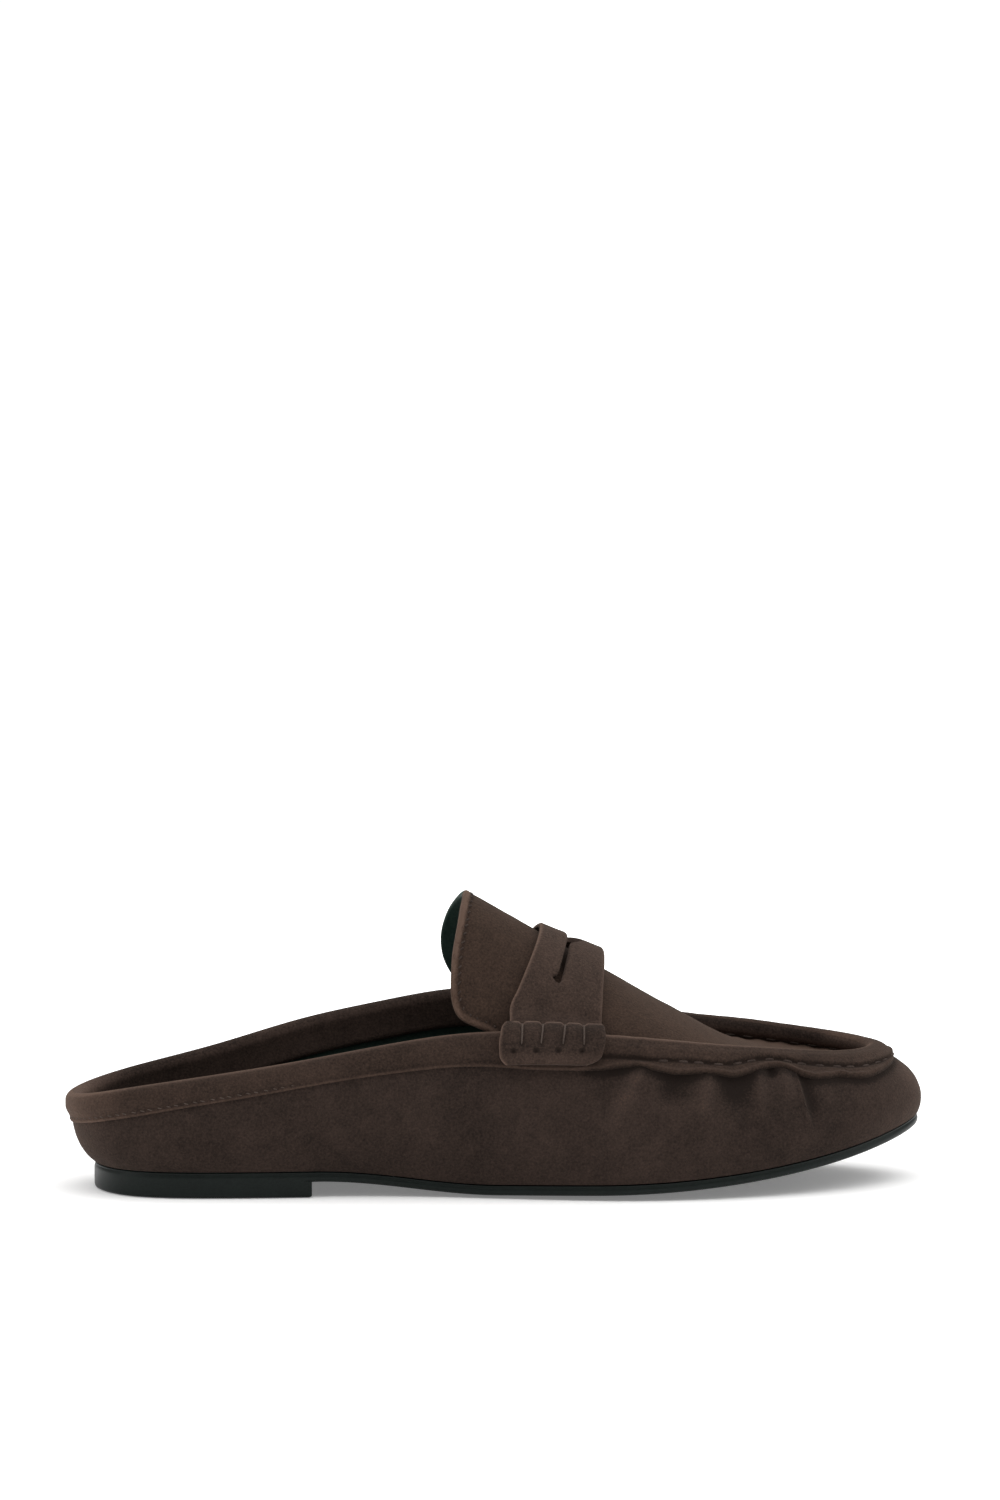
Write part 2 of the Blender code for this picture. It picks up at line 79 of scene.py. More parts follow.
BAND = 0.0014
APRON = 0.0018
STRAP = 0.0018
GAP = 0.0003
BAND_OUTSIDE = 0.0065
BAND_INSIDE = 0.0095
APRON_DROP = 0.0026
STRAP_TAB = 0.0080
TONGUE_BACK = 0.1122
TONGUE_EAR = 0.0056
TONGUE_EAR_FADE = 0.024
APRON_BLEND = 0.0045
TOE_DOME = 0.0002
TOE_POINT = 0.020
ARCH_POWER = 1.7
STRAP_CROWN_BACK = 0.1336
STRAP_CROWN_FRONT = 0.1514
STRAP_SIDE_BACK = 0.1180
STRAP_SIDE_FRONT = 0.1500
STRAP_BOW = 0.0039
STRAP_LIFT_BACK = 0.0007
STRAP_LIFT_FRONT = 0.0032
STRAP_START = math.radians(30.0)
TAB_BACK = 0.1195
TAB_FRONT = 0.1510
TAB_CORNER = 0.0030
TAB_SLANT = 0.0030
SLOT_HALF_LENGTH = 0.0232
SLOT_BACK = 0.1426
SLOT_NOTCH = 0.0044
SLOT_SWEEP = 0.0048
LOW_REACH = 0.24
HIGH_REACH = 0.30
CURVE_SAMPLES = 25

MM = 0.001
TONGUE_STITCH = 2.4 * MM
RING_STEPS = 24
STATION_STEP = 0.02

Section = namedtuple(
    "Section",
    "place sole_along sole_lateral sole_medial rim_along rim_lateral rim_medial"
    " rise_lateral rise_medial low_swell high_swell band",
)

# Along is a share of SOLE_LENGTH, lateral and medial of half BALL_WIDTH, rise of THROAT_HEIGHT,
# the two swells of half BALL_WIDTH and band of BAND_OUTSIDE. The rim is the upper's top edge.
SECTIONS = [Section(*row) for row in (
    ("heel tip", 0.003, 0.00, 0.00, -0.0245, 0.00, 0.00, 0.520, 0.520, 0.155, 0.000, 1.0),
    ("heel corner", 0.026, 0.42, 0.41, -0.003, 0.44, 0.43, 0.556, 0.540, 0.135, 0.015, 1.0),
    ("heel side", 0.088, 0.65, 0.63, 0.058, 0.66, 0.64, 0.622, 0.614, 0.115, 0.045, 1.0),
    ("heel front", 0.188, 0.70, 0.67, 0.154, 0.73, 0.70, 0.698, 0.732, 0.105, 0.070, 1.0),
    ("waist rear", 0.288, 0.69, 0.62, 0.254, 0.76, 0.72, 0.781, 0.876, 0.110, 0.085, 1.0),
    ("waist", 0.388, 0.72, 0.61, 0.352, 0.79, 0.75, 0.873, 0.979, 0.115, 0.095, 1.0),
    ("waist front", 0.484, 0.84, 0.69, 0.448, 0.82, 0.79, 0.938, 1.050, 0.110, 0.110, 1.0),
    ("ball rear", 0.576, 0.97, 0.83, 0.540, 0.84, 0.82, 0.940, 1.030, 0.105, 0.140, 1.0),
    ("ball", 0.664, 1.03, 0.95, 0.628, 0.84, 0.84, 0.914, 0.968, 0.100, 0.175, 1.15),
    ("ball front", 0.748, 0.98, 0.98, 0.710, 0.79, 0.83, 0.872, 0.900, 0.095, 0.210, 1.20),
    ("toe side", 0.824, 0.86, 0.91, 0.784, 0.69, 0.78, 0.830, 0.860, 0.090, 0.240, 1.20),
    ("toe shoulder", 0.892, 0.67, 0.77, 0.847, 0.53, 0.68, 0.796, 0.830, 0.080, 0.275, 1.40),
    ("toe corner", 0.948, 0.42, 0.58, 0.901, 0.35, 0.53, 0.774, 0.805, 0.070, 0.315, 1.45),
    ("toe front", 0.986, 0.15, 0.37, 0.935, 0.13, 0.34, 0.772, 0.788, 0.060, 0.350, 1.15),
    ("toe tip", 1.000, -0.12, 0.12, 0.947, -0.11, 0.11, 0.778, 0.778, 0.055, 0.370, 0.90),
)]

# The tongue's back edge: share of its rise, and the shares of TONGUE_EAR that its lateral and its
# medial half stand back there. Below zero the edge curves forward to the tongue's lower corner.
EARS = np.array((
    (0.00, -1.55, -1.00), (0.08, -1.35, -0.75), (0.12, -1.00, -0.55), (0.15, -0.40, -0.38),
    (0.18, 0.24, -0.20), (0.21, 0.64, 0.00), (0.25, 0.86, 0.26), (0.32, 1.02, 0.62),
    (0.41, 1.03, 0.95), (0.50, 0.97, 1.09), (0.59, 0.88, 1.10), (0.69, 0.70, 0.96),
    (0.80, 0.48, 0.70), (0.91, 0.26, 0.34), (1.00, 0.02, 0.02),
))

# Gathers of the vamp below the raised seam, given in millimetres along the sole.
# side is -1 lateral or 1 medial, slant leans them back as they run down, rise is out of the skin.
Gather = namedtuple("Gather", "side along half_width length slant rise")
GATHERS = [Gather(*row) for row in (
    (-1, 153.0, 3.4, 13.0, -0.45, -0.60), (-1, 161.6, 2.7, 24.0, -0.54, 1.15),
    (-1, 172.2, 3.7, 12.0, -0.20, -1.80), (-1, 181.6, 2.3, 19.0, -0.12, 1.05),
    (-1, 189.6, 4.0, 12.0, 0.00, -1.90), (-1, 196.9, 1.8, 18.0, 0.00, 1.00),
    (-1, 201.2, 1.2, 4.0, 0.00, -1.70), (-1, 205.2, 2.6, 14.0, 0.05, 0.95),
    (-1, 208.6, 0.7, 26.0, 0.20, 0.70), (-1, 210.9, 1.8, 22.0, 0.19, -1.30),
    (-1, 217.5, 3.0, 13.0, 0.12, 0.30), (1, 157.0, 3.6, 12.0, -0.30, -0.70),
    (1, 166.5, 2.7, 22.0, -0.35, 1.05), (1, 175.5, 3.7, 12.0, -0.10, -1.60),
    (1, 184.0, 2.6, 19.0, -0.08, 1.00), (1, 192.0, 3.6, 12.0, 0.00, -1.60),
    (1, 199.5, 2.4, 17.0, 0.04, 0.95), (1, 206.0, 1.7, 15.0, 0.08, -1.30),
    (1, 212.5, 2.6, 16.0, 0.10, 0.75), (1, 219.5, 2.1, 12.0, 0.10, -0.90),
)]

# The band's wavy lower edge, in millimetres: place along the sole, how much lower it hangs than
# the plain band, and how far below the upper's edge the stitches run.
SEAMS = np.array((
    (-8.0, -0.4, 4.8), (14.0, -0.1, 5.1), (28.0, -0.4, 4.9), (46.0, -0.6, 4.7),
    (72.0, -0.7, 4.6), (80.0, -0.4, 4.8), (90.0, 0.1, 5.3), (99.0, 0.5, 5.7),
    (106.0, 0.8, 6.0), (114.0, 1.4, 6.4), (122.0, 2.1, 6.8), (128.0, 2.6, 6.9),
    (134.0, 2.7, 6.2), (141.0, 2.4, 5.2), (149.0, 1.8, 4.8), (156.0, 0.4, 4.7),
    (162.0, -0.2, 4.8), (166.5, 0.5, 5.0), (171.0, 1.1, 4.8), (180.0, 0.4, 4.8),
    (185.0, 0.6, 4.9), (189.0, 1.1, 4.8), (192.5, 0.2, 4.0), (196.0, -1.0, 3.2),
    (200.0, -2.4, 2.6), (205.0, -3.1, 2.5), (208.0, -2.3, 2.9), (210.5, -0.9, 3.5),
    (213.5, 0.0, 4.0), (218.0, -0.2, 4.5), (223.0, -0.8, 5.0), (227.5, 0.1, 5.5),
    (231.5, 0.4, 5.8), (236.0, 0.2, 5.6),
))

# Whip stitches that close each strap end, in millimetres along the sole: their place at the top of
# the roll, at their low end, and that of the hole beside it. The heights below are from the end.
Whip = namedtuple("Whip", "top low hole")
WHIPS = (
    Whip(126.8, 126.4, 123.9),
    Whip(132.9, 132.1, 130.5),
    Whip(139.4, 138.5, 137.0),
    Whip(144.9, 144.7, 144.0),
)
ROLL_TOP = 0.0128
WHIP_LOW = 0.0056
HOLE_HEIGHT = 0.0042

SPANS = 2 * (len(SECTIONS) - 1)
TOE_STATION = len(SECTIONS) - 1
HALF_BALL = BALL_WIDTH / 2
RING = np.arange(SPANS * RING_STEPS) / RING_STEPS


# Shape of the shoe, as in the part's source


def around(lateral, medial=None, sign=1):
    """A column of SECTIONS up the lateral side, times sign, and back down the medial side."""
    first = [sign * getattr(row, lateral) for row in SECTIONS]
    back = [getattr(row, medial or lateral) for row in SECTIONS[-2:0:-1]]
    return np.array(first + back, float)


def closed_spline(knots):
    count = len(knots)
    system = 4 * np.eye(count) + np.roll(np.eye(count), 1, 0) + np.roll(np.eye(count), -1, 0)
    return np.linalg.solve(system, 3 * (np.roll(knots, -1, 0) - np.roll(knots, 1, 0)))


def hermite(first, leaving, second, arriving, s):
    return (
        first * (2 * s**3 - 3 * s**2 + 1)
        + leaving * (s**3 - 2 * s**2 + s)
        + second * (3 * s**2 - 2 * s**3)
        + arriving * (s**3 - s**2)
    )


def along_spline(ring, station):
    knots, tangents = ring
    station = np.mod(np.asarray(station, float), len(knots))
    first = np.floor(station).astype(int) % len(knots)
    second = (first + 1) % len(knots)
    s = (station - np.floor(station)).reshape(station.shape + (1,) * (knots.ndim - 1))
    return hermite(knots[first], tangents[first], knots[second], tangents[second], s)


def smooth_table(x, places, values):
    """A table read along a smooth curve through its rows, each a number or a line of points."""
    places, values = np.asarray(places, float), np.asarray(values, float)
    slopes = np.gradient(values, places, axis=0)
    x = np.clip(x, places[0], places[-1])
    i = np.clip(np.searchsorted(places, x) - 1, 0, len(places) - 2)
    shape = x.shape + (1,) * (values.ndim - 1)
    step = (places[i + 1] - places[i]).reshape(shape)
    s = (x - places[i]).reshape(shape) / step
    return hermite(values[i], slopes[i] * step, values[i + 1], slopes[i + 1] * step, s)


def ring_of(*columns):
    knots = np.stack(columns, axis=-1) if len(columns) > 1 else columns[0]
    return knots, closed_spline(knots)


SOLE_RING = ring_of(
    around("sole_along") * SOLE_LENGTH, around("sole_lateral", "sole_medial", -1) * HALF_BALL
)
RIM_RING = ring_of(
    around("rim_along") * SOLE_LENGTH,
    around("rim_lateral", "rim_medial", -1) * HALF_BALL,
    around("rise_lateral", "rise_medial") * THROAT_HEIGHT,
)
SWELL_RING = ring_of(around("low_swell") * HALF_BALL, around("high_swell") * HALF_BALL)
BAND_RING = ring_of(around("band") * BAND_OUTSIDE)


def ease(x, low, high):
    s = np.clip((x - low) / (high - low), 0, 1)
    return s * s * (3 - 2 * s)


def unit(vectors):
    return vectors / np.maximum(np.linalg.norm(vectors, axis=-1, keepdims=True), 1e-12)


def travel(points):
    """Distance run along lines of points, from 0 at each line's start."""
    steps = np.linalg.norm(np.diff(points, axis=-2), axis=-1)
    return np.concatenate([np.zeros_like(steps[..., :1]), np.cumsum(steps, axis=-1)], axis=-1)


def tread(x, y):
    waist = np.clip((x - HEEL_LENGTH) / (TREAD_START - HEEL_LENGTH), 0, 1)
    spring = np.clip((x - TREAD_END) / (SOLE_LENGTH - TREAD_END), 0, None)
    beyond = np.clip((np.abs(y) - TREAD_HALF_FLAT) / (HALF_BALL - TREAD_HALF_FLAT), 0, None)
    seat = HEEL_HEIGHT * (0.5 + 0.5 * np.cos(math.pi * waist))
    return seat + TOE_SPRING * spring**2 + EDGE_LIFT * waist * beyond**2


def sole_top(x, y):
    return tread(x, y) + SOLE_THICKNESS


def outward(station):
    ahead = along_spline(SOLE_RING, station + STATION_STEP)
    way = ahead - along_spline(SOLE_RING, station - STATION_STEP)
    return unit(np.stack([way[..., 1], -way[..., 0]], axis=-1))


def sole_edge(station, inset=0.0):
    return along_spline(SOLE_RING, station) - inset * outward(station)


def wall_controls(station):
    foot_plan = along_spline(SOLE_RING, station)
    foot = np.column_stack([foot_plan, sole_top(foot_plan[:, 0], foot_plan[:, 1]) + GAP])
    rim = along_spline(RIM_RING, station)
    swell = along_spline(SWELL_RING, station)
    out = np.column_stack([outward(station), np.zeros(len(station))])
    height = (rim[:, 2] - foot[:, 2])[:, None]
    up = np.array([0.0, 0.0, 1.0])
    low = foot + out * swell[:, :1] + up * height * LOW_REACH
    high = rim + out * swell[:, 1:] - up * height * HIGH_REACH
    return rim, high, low, foot


def bezier(controls, s):
    first, second, third, fourth = (c[:, None] for c in controls)
    s = s[..., None]
    return (
        first * (1 - s) ** 3
        + second * 3 * s * (1 - s) ** 2
        + third * 3 * s**2 * (1 - s)
        + fourth * s**3
    )


def wall_travel(station):
    """Distance run down the wall from the rim, at even steps of its curve."""
    return travel(bezier(wall_controls(station), np.linspace(0, 1, CURVE_SAMPLES)[None]))


def skin_points(station, drop):
    """Points of the outer skin; station has N values and drop N rows of distances below the rim."""
    depth = wall_travel(station)
    share = np.linspace(0, 1, CURVE_SAMPLES)
    found = np.array([np.interp(row, along, share) for row, along in zip(drop, depth)])
    return bezier(wall_controls(station), found)


def skin_depth(station):
    return wall_travel(station)[:, -1]


def skin(station, drop, out=0.0):
    """Points at a distance out of the skin, with the outward and upward directions there."""
    drop = np.asarray(drop, float)
    drop = drop[:, None] if drop.ndim == 1 else drop
    slide = 0.6 * MM
    depth = skin_depth(station)[:, None]
    drop = np.clip(drop, 0.0, depth)
    ahead = skin_points(station + STATION_STEP, drop) - skin_points(station - STATION_STEP, drop)
    higher = skin_points(station, np.maximum(drop - slide, 0.0))
    rise = unit(higher - skin_points(station, np.minimum(drop + slide, depth)))
    normal = unit(np.cross(ahead, rise))
    return skin_points(station, drop) + normal * np.asarray(out)[..., None], normal, rise


def skin_x(station, drop):
    return skin(station, drop)[0][:, 0, 0]


def band_depth(station):
    return along_spline(BAND_RING, station)


def roll(station, radius, angle):
    """Half round over the upper's top edge; angle 0 is outside, pi is inside, N rows of angles."""
    rim, normal, rise = skin(station, 0.0)
    centre = rim - normal * WALL / 2
    turn = np.asarray(angle)[..., None]
    radius = np.asarray(radius)[..., None]
    return centre + radius * (normal * np.cos(turn) + rise * np.sin(turn))


def seam_lines():
    """The lateral and the medial line on the band's inner face where the apron's edge meets it."""
    reach = -(WALL + 2 * GAP + BAND)
    station = np.linspace(5.0, TOE_STATION, 600)
    toward_toe = ease(station, 9.0, 11.0)
    lateral = skin(station, APRON_DROP - 0.5 * MM * toward_toe, reach)[0][:, 0]
    at_tip = ease(station, 13.6, 14.0)
    medial_drop = APRON_DROP - (1.1 - 0.6 * at_tip) * MM * toward_toe
    return lateral, skin(SPANS - station, medial_drop, reach)[0][:, 0]


SEAM_LATERAL, SEAM_MEDIAL = seam_lines()
SEAM_TIP = SEAM_LATERAL[-1, 0]


def seam(x):
    return [
        [np.interp(x, line[:, 0], line[:, axis]) for axis in (1, 2)]
        for line in (SEAM_LATERAL, SEAM_MEDIAL)
    ]


def crown(x):
    (_, lateral), (_, medial) = seam(x)
    floor = (lateral + medial) / 2 + TOE_DOME
    over = TONGUE_HEIGHT - math.tan(INSTEP_SLOPE) * (x - TONGUE_BACK) - floor
    return floor + (over + np.sqrt(over**2 + APRON_BLEND**2)) / 2


def apron_skin(x, angle):
    (lateral_y, lateral_z), (medial_y, medial_z) = seam(x)
    across = (1 - np.cos(angle)) / 2
    level = lateral_z + (medial_z - lateral_z) * across
    width = medial_y - lateral_y
    arch = np.abs(np.sin(angle)) ** ARCH_POWER * np.clip(width / TOE_POINT, 0, 1)
    height = level + np.maximum(crown(x) - level, 0) * arch
    return np.stack([x, lateral_y + width * across, height], axis=-1)


def apron_normal(x, angle):
    step, lean = 0.6 * MM, math.radians(6)
    x = np.minimum(x, SEAM_TIP - 2 * MM)
    angle = np.clip(angle, lean, math.pi - lean)
    along = apron_skin(x + step, angle) - apron_skin(x - step, angle)
    across = apron_skin(x, angle + lean / 3) - apron_skin(x, angle - lean / 3)
    return unit(np.cross(along, across))


def ear(angle):
    share = np.abs(np.sin(angle)) ** ARCH_POWER
    backs = [smooth_table(share, EARS[:, 0], EARS[:, side]) for side in (1, 2)]
    return TONGUE_EAR * np.where(angle < math.pi / 2, *backs)


def hump(x, centre, half_width):
    return np.exp(-(((x - centre) / half_width) ** 2))


def ripple(a, b, seed):
    """Soft hand-made unevenness between about -1 and 1 over two coordinates in metres."""
    value = 0
    for k, (fa, fb) in enumerate(((37, 21), (71, -55), (118, 93), (203, -170))):
        value = value + np.sin(fa * a * 2 * math.pi + fb * b * 2 * math.pi + seed * (k + 1.7)) / (k + 1)
    return value / 2


def extra_hang(x):
    """Metres that the band's wavy edge hangs below the plain band."""
    return MM * smooth_table(x / MM, SEAMS[:, 0], SEAMS[:, 1])


def stitch_drop(x):
    return MM * smooth_table(x / MM, SEAMS[:, 0], SEAMS[:, 2])


def ahead_of_strap(x):
    """0 on the collar behind the strap, 1 on the raised seam in front of it."""
    return ease(x / MM, 141, 149)


# Meshes

SHIFT = np.zeros(3)
SHIFT[:2] = np.array(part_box("outsole")[0])[:2] - sole_edge(np.arange(SPANS * 3) / 3).min(axis=0)


def quads(rows, columns, wrap_rows=False, wrap_columns=False):
    """Faces of a grid of points, which may close on itself either way."""
    grid = np.arange(rows * columns).reshape(rows, columns)
    grid = np.pad(grid, ((0, int(wrap_rows)), (0, int(wrap_columns))), "wrap")
    corners = [grid[:-1, :-1], grid[1:, :-1], grid[1:, 1:], grid[:-1, 1:]]
    return np.stack(corners, axis=-1).reshape(-1, 4)


def border(rows, columns):
    """Indices round the outer ring of a grid, in order."""
    grid = np.arange(rows * columns).reshape(rows, columns)
    return np.concatenate([grid[:, 0], grid[-1, 1:], grid[-2::-1, -1], grid[0, -2:0:-1]])


def walls(ring, size):
    """Faces between a ring of indices and the same ring of the next grid."""
    follow = np.roll(ring, -1)
    return np.stack([ring, follow, follow + size, ring + size], axis=1)


def new_object(name, data):
    made = bpy.data.objects.new(name, data)
    bpy.context.scene.collection.objects.link(made)
    return made


def finish_mesh(name, points, faces, materials, indices=None, merge=1e-6, sharp=None, tone=0.5):
    mesh = bpy.data.meshes.new(name)
    mesh.from_pydata((points.reshape(-1, 3) + SHIFT).tolist(), [], faces)
    # The tone attribute carries painted light and shade into the colour; 0.5 paints none
    values = np.broadcast_to(tone, points.shape[:-1]).astype(np.float32)
    mesh.attributes.new("tone", "FLOAT", "POINT").data.foreach_set("value", values.ravel())
    for paint in materials:
        mesh.materials.append(paint)
    if indices is not None:
        mesh.polygons.foreach_set("material_index", np.asarray(indices, np.int32))
    shape = bmesh.new()
    shape.from_mesh(mesh)
    bmesh.ops.remove_doubles(shape, verts=shape.verts, dist=merge)
    bmesh.ops.dissolve_degenerate(shape, edges=shape.edges, dist=1e-8)
    bmesh.ops.recalc_face_normals(shape, faces=shape.faces)
    if shape.calc_volume(signed=True) < 0:
        bmesh.ops.reverse_faces(shape, faces=shape.faces)
    shape.to_mesh(mesh)
    shape.free()
    mesh.shade_smooth()
    if sharp:
        mesh.set_sharp_from_angle(angle=math.radians(sharp))
    made = new_object(name, mesh)
    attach(made, "root")
    return made


def tubes(name, paths, normals, radius, paint, sides=7, flat=1.0):
    """Short threads as one joined mesh; paths and normals hold S threads of K points."""
    count, points, _ = paths.shape
    way = unit(np.gradient(paths, axis=1))
    side = unit(np.cross(way, normals))
    up = np.cross(side, way)
    end = np.abs(np.linspace(-1, 1, points))
    thick = radius * np.sqrt(np.clip(1.02 - end**4, 0.05, 1))
    turn = np.linspace(0, 2 * math.pi, sides, endpoint=False)
    circle = side[:, :, None] * np.cos(turn)[:, None] + flat * up[:, :, None] * np.sin(turn)[:, None]
    verts = paths[:, :, None] + circle * thick[None, :, None, None]
    body = quads(points, sides, wrap_columns=True)
    block = points * sides
    faces = []
    caps = [list(range(sides)), list(range(block - 1, block - sides - 1, -1))]
    for s in range(count):
        faces += (body + s * block).tolist()
        faces += [[v + s * block for v in cap] for cap in caps]
    made = finish_mesh(name, verts, faces, [paint])
    return made


def loft(rings):
    rows, columns, _ = rings.shape
    return quads(rows, columns, wrap_rows=True, wrap_columns=True).tolist()


# Materials

NAP = (0.50, 0.38, 0.30)
DARK_BROWN = (0.036, 0.0245, 0.0205)

# How far the tone attribute, which carries painted light and shade, moves the mottling towards the light
# end of the colours as it runs from 0 to 1
TONE_REACH = 0.36


def feed(tree, node, *ordered, **named):
    """Set a node's inputs, in order or by name with low lines for spaces; a socket is linked."""
    inputs = dict(enumerate(ordered))
    inputs.update((key.replace("_", " "), value) for key, value in named.items())
    for key, value in inputs.items():
        if isinstance(value, bpy.types.NodeSocket):
            tree.links.new(value, node.inputs[key])
        else:
            node.inputs[key].default_value = value
    return node.outputs


def add(tree, kind, *ordered, operation=None, **named):
    """Add a node and return its outputs."""
    node = tree.nodes.new("ShaderNode" + kind)
    if operation:
        node.operation = operation
    return feed(tree, node, *ordered, **named)


def colours(tree, factor, *stops):
    """A ramp through stops, each a place and a colour, of which the first two come with the node."""
    ramp = tree.nodes.new("ShaderNodeValToRGB")
    elements = ramp.color_ramp.elements
    for i, (place, colour) in enumerate(stops):
        stop = elements[i] if i < 2 else elements.new(place)
        stop.position, stop.color = place, (*colour, 1)
    return feed(tree, ramp, factor)["Color"]


def new_paint(name):
    made = bpy.data.materials.new(name)
    made.use_nodes = True
    return made, made.node_tree, made.node_tree.nodes["Principled BSDF"]


def material(name, dark, light, roughness, grain, depth, specular, sheen=0.0, contrast=0.10, highlight_peak=None):
    """Leather, rubber or thread: three scales of mottling, a nap or grain bump, and the painted light and
    shade of the tone attribute.
    """
    made, tree, shader = new_paint(name)
    place = add(tree, "TexCoord")["Object"]

    def noise(scale, detail, rough=0.6):
        return add(tree, "TexNoise", Vector=place, Scale=scale, Detail=detail, Roughness=rough)["Fac"]

    def combine(first, second, weight):
        return add(tree, "Mix", Factor=weight, A=first, B=second)["Result"]

    broad, medium, fine = noise(30, 3), noise(210, 4), noise(grain, 2, 0.75)
    mottle = combine(combine(broad, medium, 0.45), fine, 0.50)
    tone = tree.nodes.new("ShaderNodeAttribute")
    tone.attribute_name = "tone"
    lean = add(tree, "Math", tone.outputs["Fac"], TONE_REACH, -TONE_REACH / 2, operation="MULTIPLY_ADD")[0]
    total = add(tree, "Math", mottle, lean, operation="ADD")[0]
    stops = [(0.5 - contrast, dark), (0.5 + contrast, light)]
    # A third stop for the brightest painted highlights of the tone
    if highlight_peak:
        stops.append((0.74 + contrast, highlight_peak))
    spread = add(tree, "MapRange", medium, To_Min=roughness - 0.07, To_Max=roughness + 0.07)
    bump = add(tree, "Bump", Strength=0.6, Distance=depth, Height=combine(medium, fine, 0.7))
    feed(
        tree, shader, Base_Color=colours(tree, total, *stops), Roughness=spread["Result"],
        Normal=bump["Normal"], Specular_IOR_Level=specular, Sheen_Weight=sheen, Sheen_Roughness=0.5,
        Sheen_Tint=(*NAP, 1),
    )
    return made


def suede(name, level, warmth=1.0, highlight_colour=(3.1, 3.1, 3.0)):
    """Napped suede whose middle colour is level times a dark brown; the last argument is the colour of its
    painted highlights.
    """
    warm = np.array([1 + 0.10 * (warmth - 1), 1.0, 1 - 0.12 * (warmth - 1)])
    middle = np.array(DARK_BROWN) * warm * level
    dark, light, highlight_peak = tuple(middle * 0.46), tuple(middle * 1.75), tuple(middle * highlight_colour)
    return material(name, dark, light, 0.93, 1500, 0.00045, 0.10, 0.10, 0.16, highlight_peak)


def thread(name, dark, light, depth):
    return material(name, dark, light, 0.75, 2600, depth, 0.1, 0.05)


# The last colour of a suede is that of its painted highlights
UPPER = suede("quarter_suede", 0.63, 1.3, (3.8, 3.2, 2.7))
BANDING = suede("band_suede", 0.73, 1.7, (3.15, 3.15, 3.1))
PLUG = suede("apron_suede", 0.68, 2.1, (3.2, 3.3, 3.4))
SADDLE = suede("strap_suede", 0.87, 1.5)
FACING = suede("facing_suede", 1.0, 1.3)
LINING = material(
    "smooth_lining", (0.0120, 0.0240, 0.0190), (0.0220, 0.0385, 0.0315), 0.62, 1300, 0.00010, 0.12
)
SOLE = material(
    "sole_rubber", (0.0027, 0.0050, 0.0042), (0.0055, 0.0090, 0.0078), 0.40, 1800, 0.00004, 0.15
)
THREAD = thread("seam_thread", (0.024, 0.0172, 0.0142), (0.054, 0.0390, 0.0330), 0.00020)
PALE_THREAD = thread("fine_thread", (0.044, 0.0325, 0.0270), (0.086, 0.0650, 0.0550), 0.00015)


# The upper's wall


def gather_shape(x, down, side):
    """Metres out of the skin for the gathers at x and at a distance down from the seam's edge."""
    x, down = x / MM, down / MM
    total = np.zeros_like(x)
    for row in (gather for gather in GATHERS if gather.side == side):
        centre = row.along + row.slant * down
        width = row.half_width * (1 + 0.25 * ease(down, 0, row.length))
        fade = ease(down, -2.5, 1.0) * (1 - ease(down, 0.30 * row.length, row.length))
        total = total + row.rise * hump(x, centre, width) * fade
    return total * MM


def hollow_limit(out):
    """Keeps the hollows between the gathers inside the wall's thickness."""
    deepest = 1.15 * MM
    return np.where(out < 0, -deepest * np.tanh(-out / deepest), out)


def make_upper():
    depth, edge = skin_depth(RING)[:, None], band_depth(RING)
    start = (edge - 2.0 * MM)[:, None]
    below = start + (depth - start) * np.linspace(0, 1, 50)
    drop = np.concatenate([np.zeros_like(start), start * 0.5, below], axis=1)
    plain, normal, _ = skin(RING, drop)
    x = plain[..., 0]
    down = drop - (edge + extra_hang(skin_x(RING, edge)))[:, None]
    lateral = (RING < TOE_STATION)[:, None]
    out = np.where(lateral, gather_shape(x, down, -1), gather_shape(x, down, 1))
    soft = 0.16 * MM * ripple(x, plain[..., 2] + 0.3 * plain[..., 1], 1.3)
    out = out + soft * ease(drop, 8 * MM, 14 * MM) * ease(depth - drop, 0, 8 * MM)
    outside = plain + normal * hollow_limit(out)[..., None]
    inside = skin(RING, depth * np.linspace(1, 0, 24), -WALL)[0]
    floor = sole_top(inside[..., 0], inside[..., 1]) + GAP
    inside[..., 2] = np.maximum(inside[..., 2], floor)
    inside[:, 0, 2] = floor[:, 0]
    rings = np.concatenate([outside, inside], axis=1)
    column = np.tile(np.arange(rings.shape[1]), len(RING))
    lining = (column >= outside.shape[1] - 1).astype(int)
    # Painted light and shade: the gathers' ridges lighter and their hollows darker, as under light from
    # above
    painted_light_and_shade = 0.5 + out / (2.9 * MM)
    # Painted shade just below the band's edge, strongest under the raised seam
    painted_light_and_shade = painted_light_and_shade - (0.06 + 0.70 * ahead_of_strap(x)) * hump(down, 0.3 * MM, 1.6 * MM)
    # A little darker on the vamp from about 180 to 236 mm along
    painted_light_and_shade = painted_light_and_shade - 0.12 * ease(x, 0.180, 0.200) * (1 - ease(x, 0.222, 0.236))
    # Painted highlights towards the toe and at the heel end, where the wall turns away
    painted_light_and_shade = painted_light_and_shade + 0.55 * ease(x, 0.228, 0.256) + 0.50 * ease(0.012 - x, 0.0, 0.022)
    tone = np.concatenate([painted_light_and_shade, np.full(inside.shape[:2], 0.5)], axis=1)
    made = finish_mesh("upper_wall", rings, loft(rings), [UPPER, LINING], lining, sharp=50, tone=tone)
    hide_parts("upper")


# The band: collar behind the strap, raised seam in front of it


